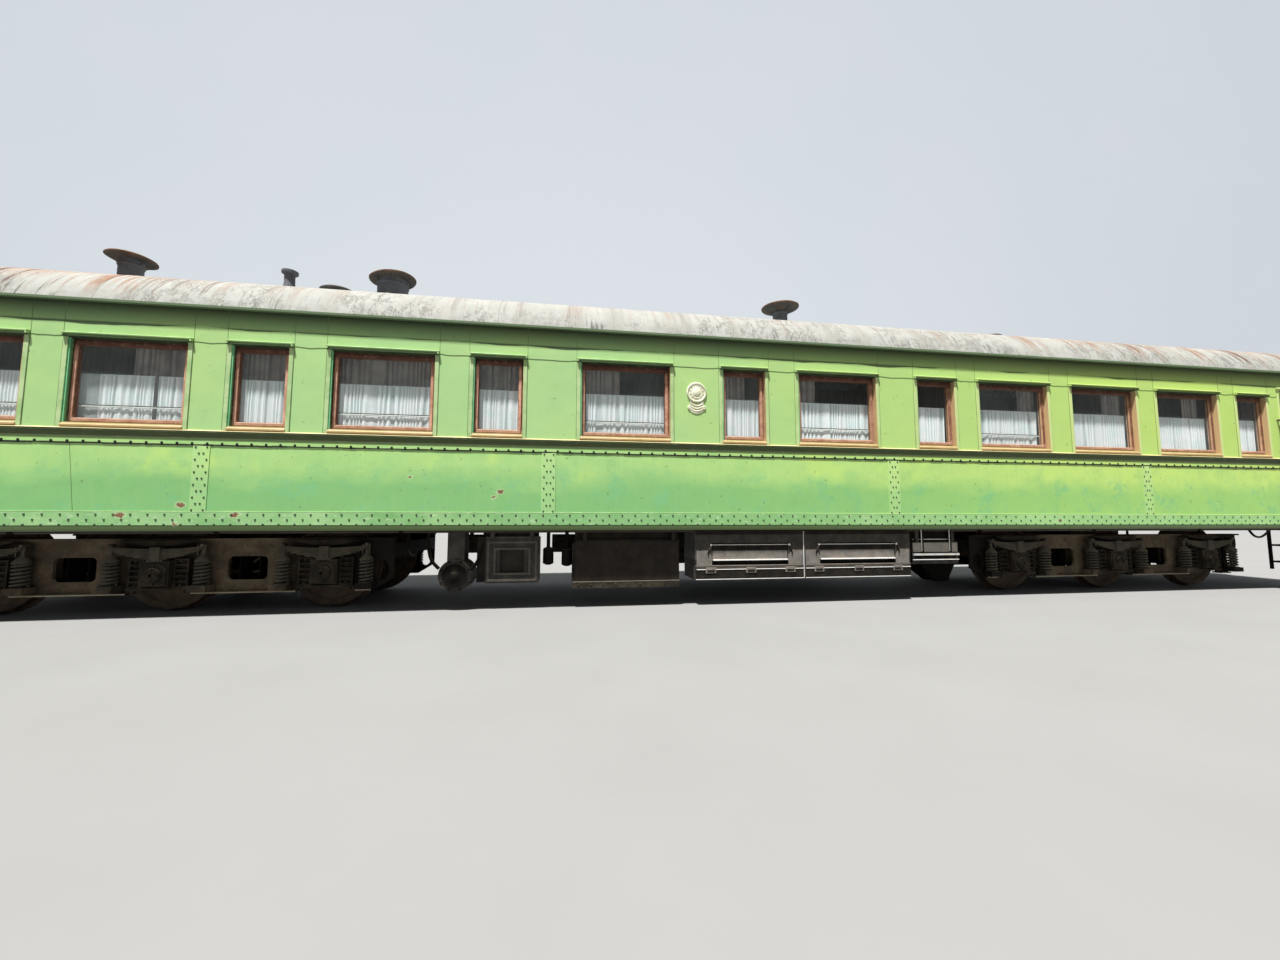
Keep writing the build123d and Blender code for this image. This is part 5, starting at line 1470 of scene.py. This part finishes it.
def door_surrounds():
    """Strips round the side doors."""
    strips = Shape()
    top = DOOR_HEAD + 0.03
    for _, end in ENDS:
        for side in SIDES:
            x = end * DOOR_X
            for edge in SIDES:
                near, far = x + edge * DOOR_HALF, x + edge * (DOOR_HALF + 0.035)
                strips.on_wall(side, near, far, 0.010, BAND_TOP, top)
            strips.on_wall(side, x - DOOR_HALF - 0.05, x + DOOR_HALF + 0.05, 0.030, DOOR_HEAD, top)
    strips.piece("door_surrounds", TRIM, "green_paint", bevel=0.002)


def cornice():
    """Boards under the ceiling that show dimly through the glass."""
    boards = Shape()
    for side in SIDES:
        boards.side_box(side, -9.36, 9.36, 1.425, 1.438, EAVE - 0.12, EAVE - 0.04)
    boards.piece("cornice", CEILING, "inner_wood")


def camera():
    """Wide lens 6.1 m from the side, a little left of the middle, turned right and tilted up."""
    turn, tilt, roll = 0.15443, 0.07949, 0.00137
    ahead = Vector((
        math.sin(turn) * math.cos(tilt),
        math.cos(turn) * math.cos(tilt),
        math.sin(tilt),
    ))
    right = Vector((math.cos(turn), -math.sin(turn), 0.0))
    up = right.cross(ahead)
    level_right = right * math.cos(roll) + up * math.sin(roll)
    level_up = up * math.cos(roll) - right * math.sin(roll)
    data = bpy.data.cameras.new("camera")
    data.sensor_width = 36.0
    data.lens = 13.5
    data.clip_end = 400.0
    shot = bpy.data.objects.new("camera", data)
    turn_matrix = Matrix((level_right, level_up, -ahead)).transposed().to_4x4()
    shot.matrix_world = Matrix.Translation((-2.03, -HALF_W - 6.1, RAIL_TOP + 1.118)) @ turn_matrix
    bpy.context.scene.collection.objects.link(shot)
    bpy.context.scene.camera = shot


def lights():
    """A high sun from the front left with soft edges, and an even pale surround."""
    scene = bpy.context.scene
    scene.view_settings.view_transform = "Standard"
    sun = bpy.data.lights.new("key", "SUN")
    sun.energy = 9.3
    sun.angle = math.radians(3)
    lamp = bpy.data.objects.new("key", sun)
    travel = Vector((0.20, 0.30, -1.0))
    lamp.rotation_mode = "QUATERNION"
    lamp.rotation_quaternion = travel.to_track_quat("-Z", "Y")
    scene.collection.objects.link(lamp)
    world = bpy.data.worlds.new("surround")
    scene.world = world
    world.use_nodes = True
    backdrop = world.node_tree.nodes["Background"]
    backdrop.inputs["Color"].default_value = (0.86, 0.92, 1.0, 1.0)
    backdrop.inputs["Strength"].default_value = 0.26


FAR = 120.0


def studio_floor():
    """Plain pale floor, slightly mottled."""
    s = Shade("floor_pale", roughness=0.9, specular=0.1)
    pale = s.mix(s.noise(0.8, 4), (0.205, 0.200, 0.190, 1.0), (0.235, 0.230, 0.220, 1.0))
    corners = [(x, y, 0) for x, y in ((-FAR, -FAR), (FAR, -FAR), (FAR, FAR), (-FAR, FAR))]
    ground = new_object("studio_floor", corners, [(0, 1, 2, 3)], s.done(pale))
    ground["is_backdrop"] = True


def studio_wall():
    """Pale backdrop far behind the coach."""
    s = Shade("backdrop_pale", roughness=0.95, specular=0.0)
    pale = s.mix(s.noise(0.02, 2), (0.56, 0.60, 0.64, 1.0), (0.60, 0.63, 0.66, 1.0))
    half, away, top = 700, 110, 420
    corners = [(-half, away, -1), (half, away, -1), (half, away, top), (-half, away, top)]
    sheet = new_object("studio_wall", corners, [(0, 1, 2, 3)], s.done(pale))
    sheet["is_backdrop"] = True


camera()
lights()
studio_floor()
studio_wall()
dress_nodes()
wall_rivets()
wall_trim()
wall_joints()
hood_caps()
window_frames()
curtains()
roof_seams()
roof_vents()
battery_trim()
box_trim()
lid_trim()
pipes()
bogies()
buffers()
plaque()
end_details()
door_details()
door_surrounds()
cornice()

boxes = {"cad": CAD_BOX, "visual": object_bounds()}
{key: [list(corner) for corner in pair] for key, pair in boxes.items()}
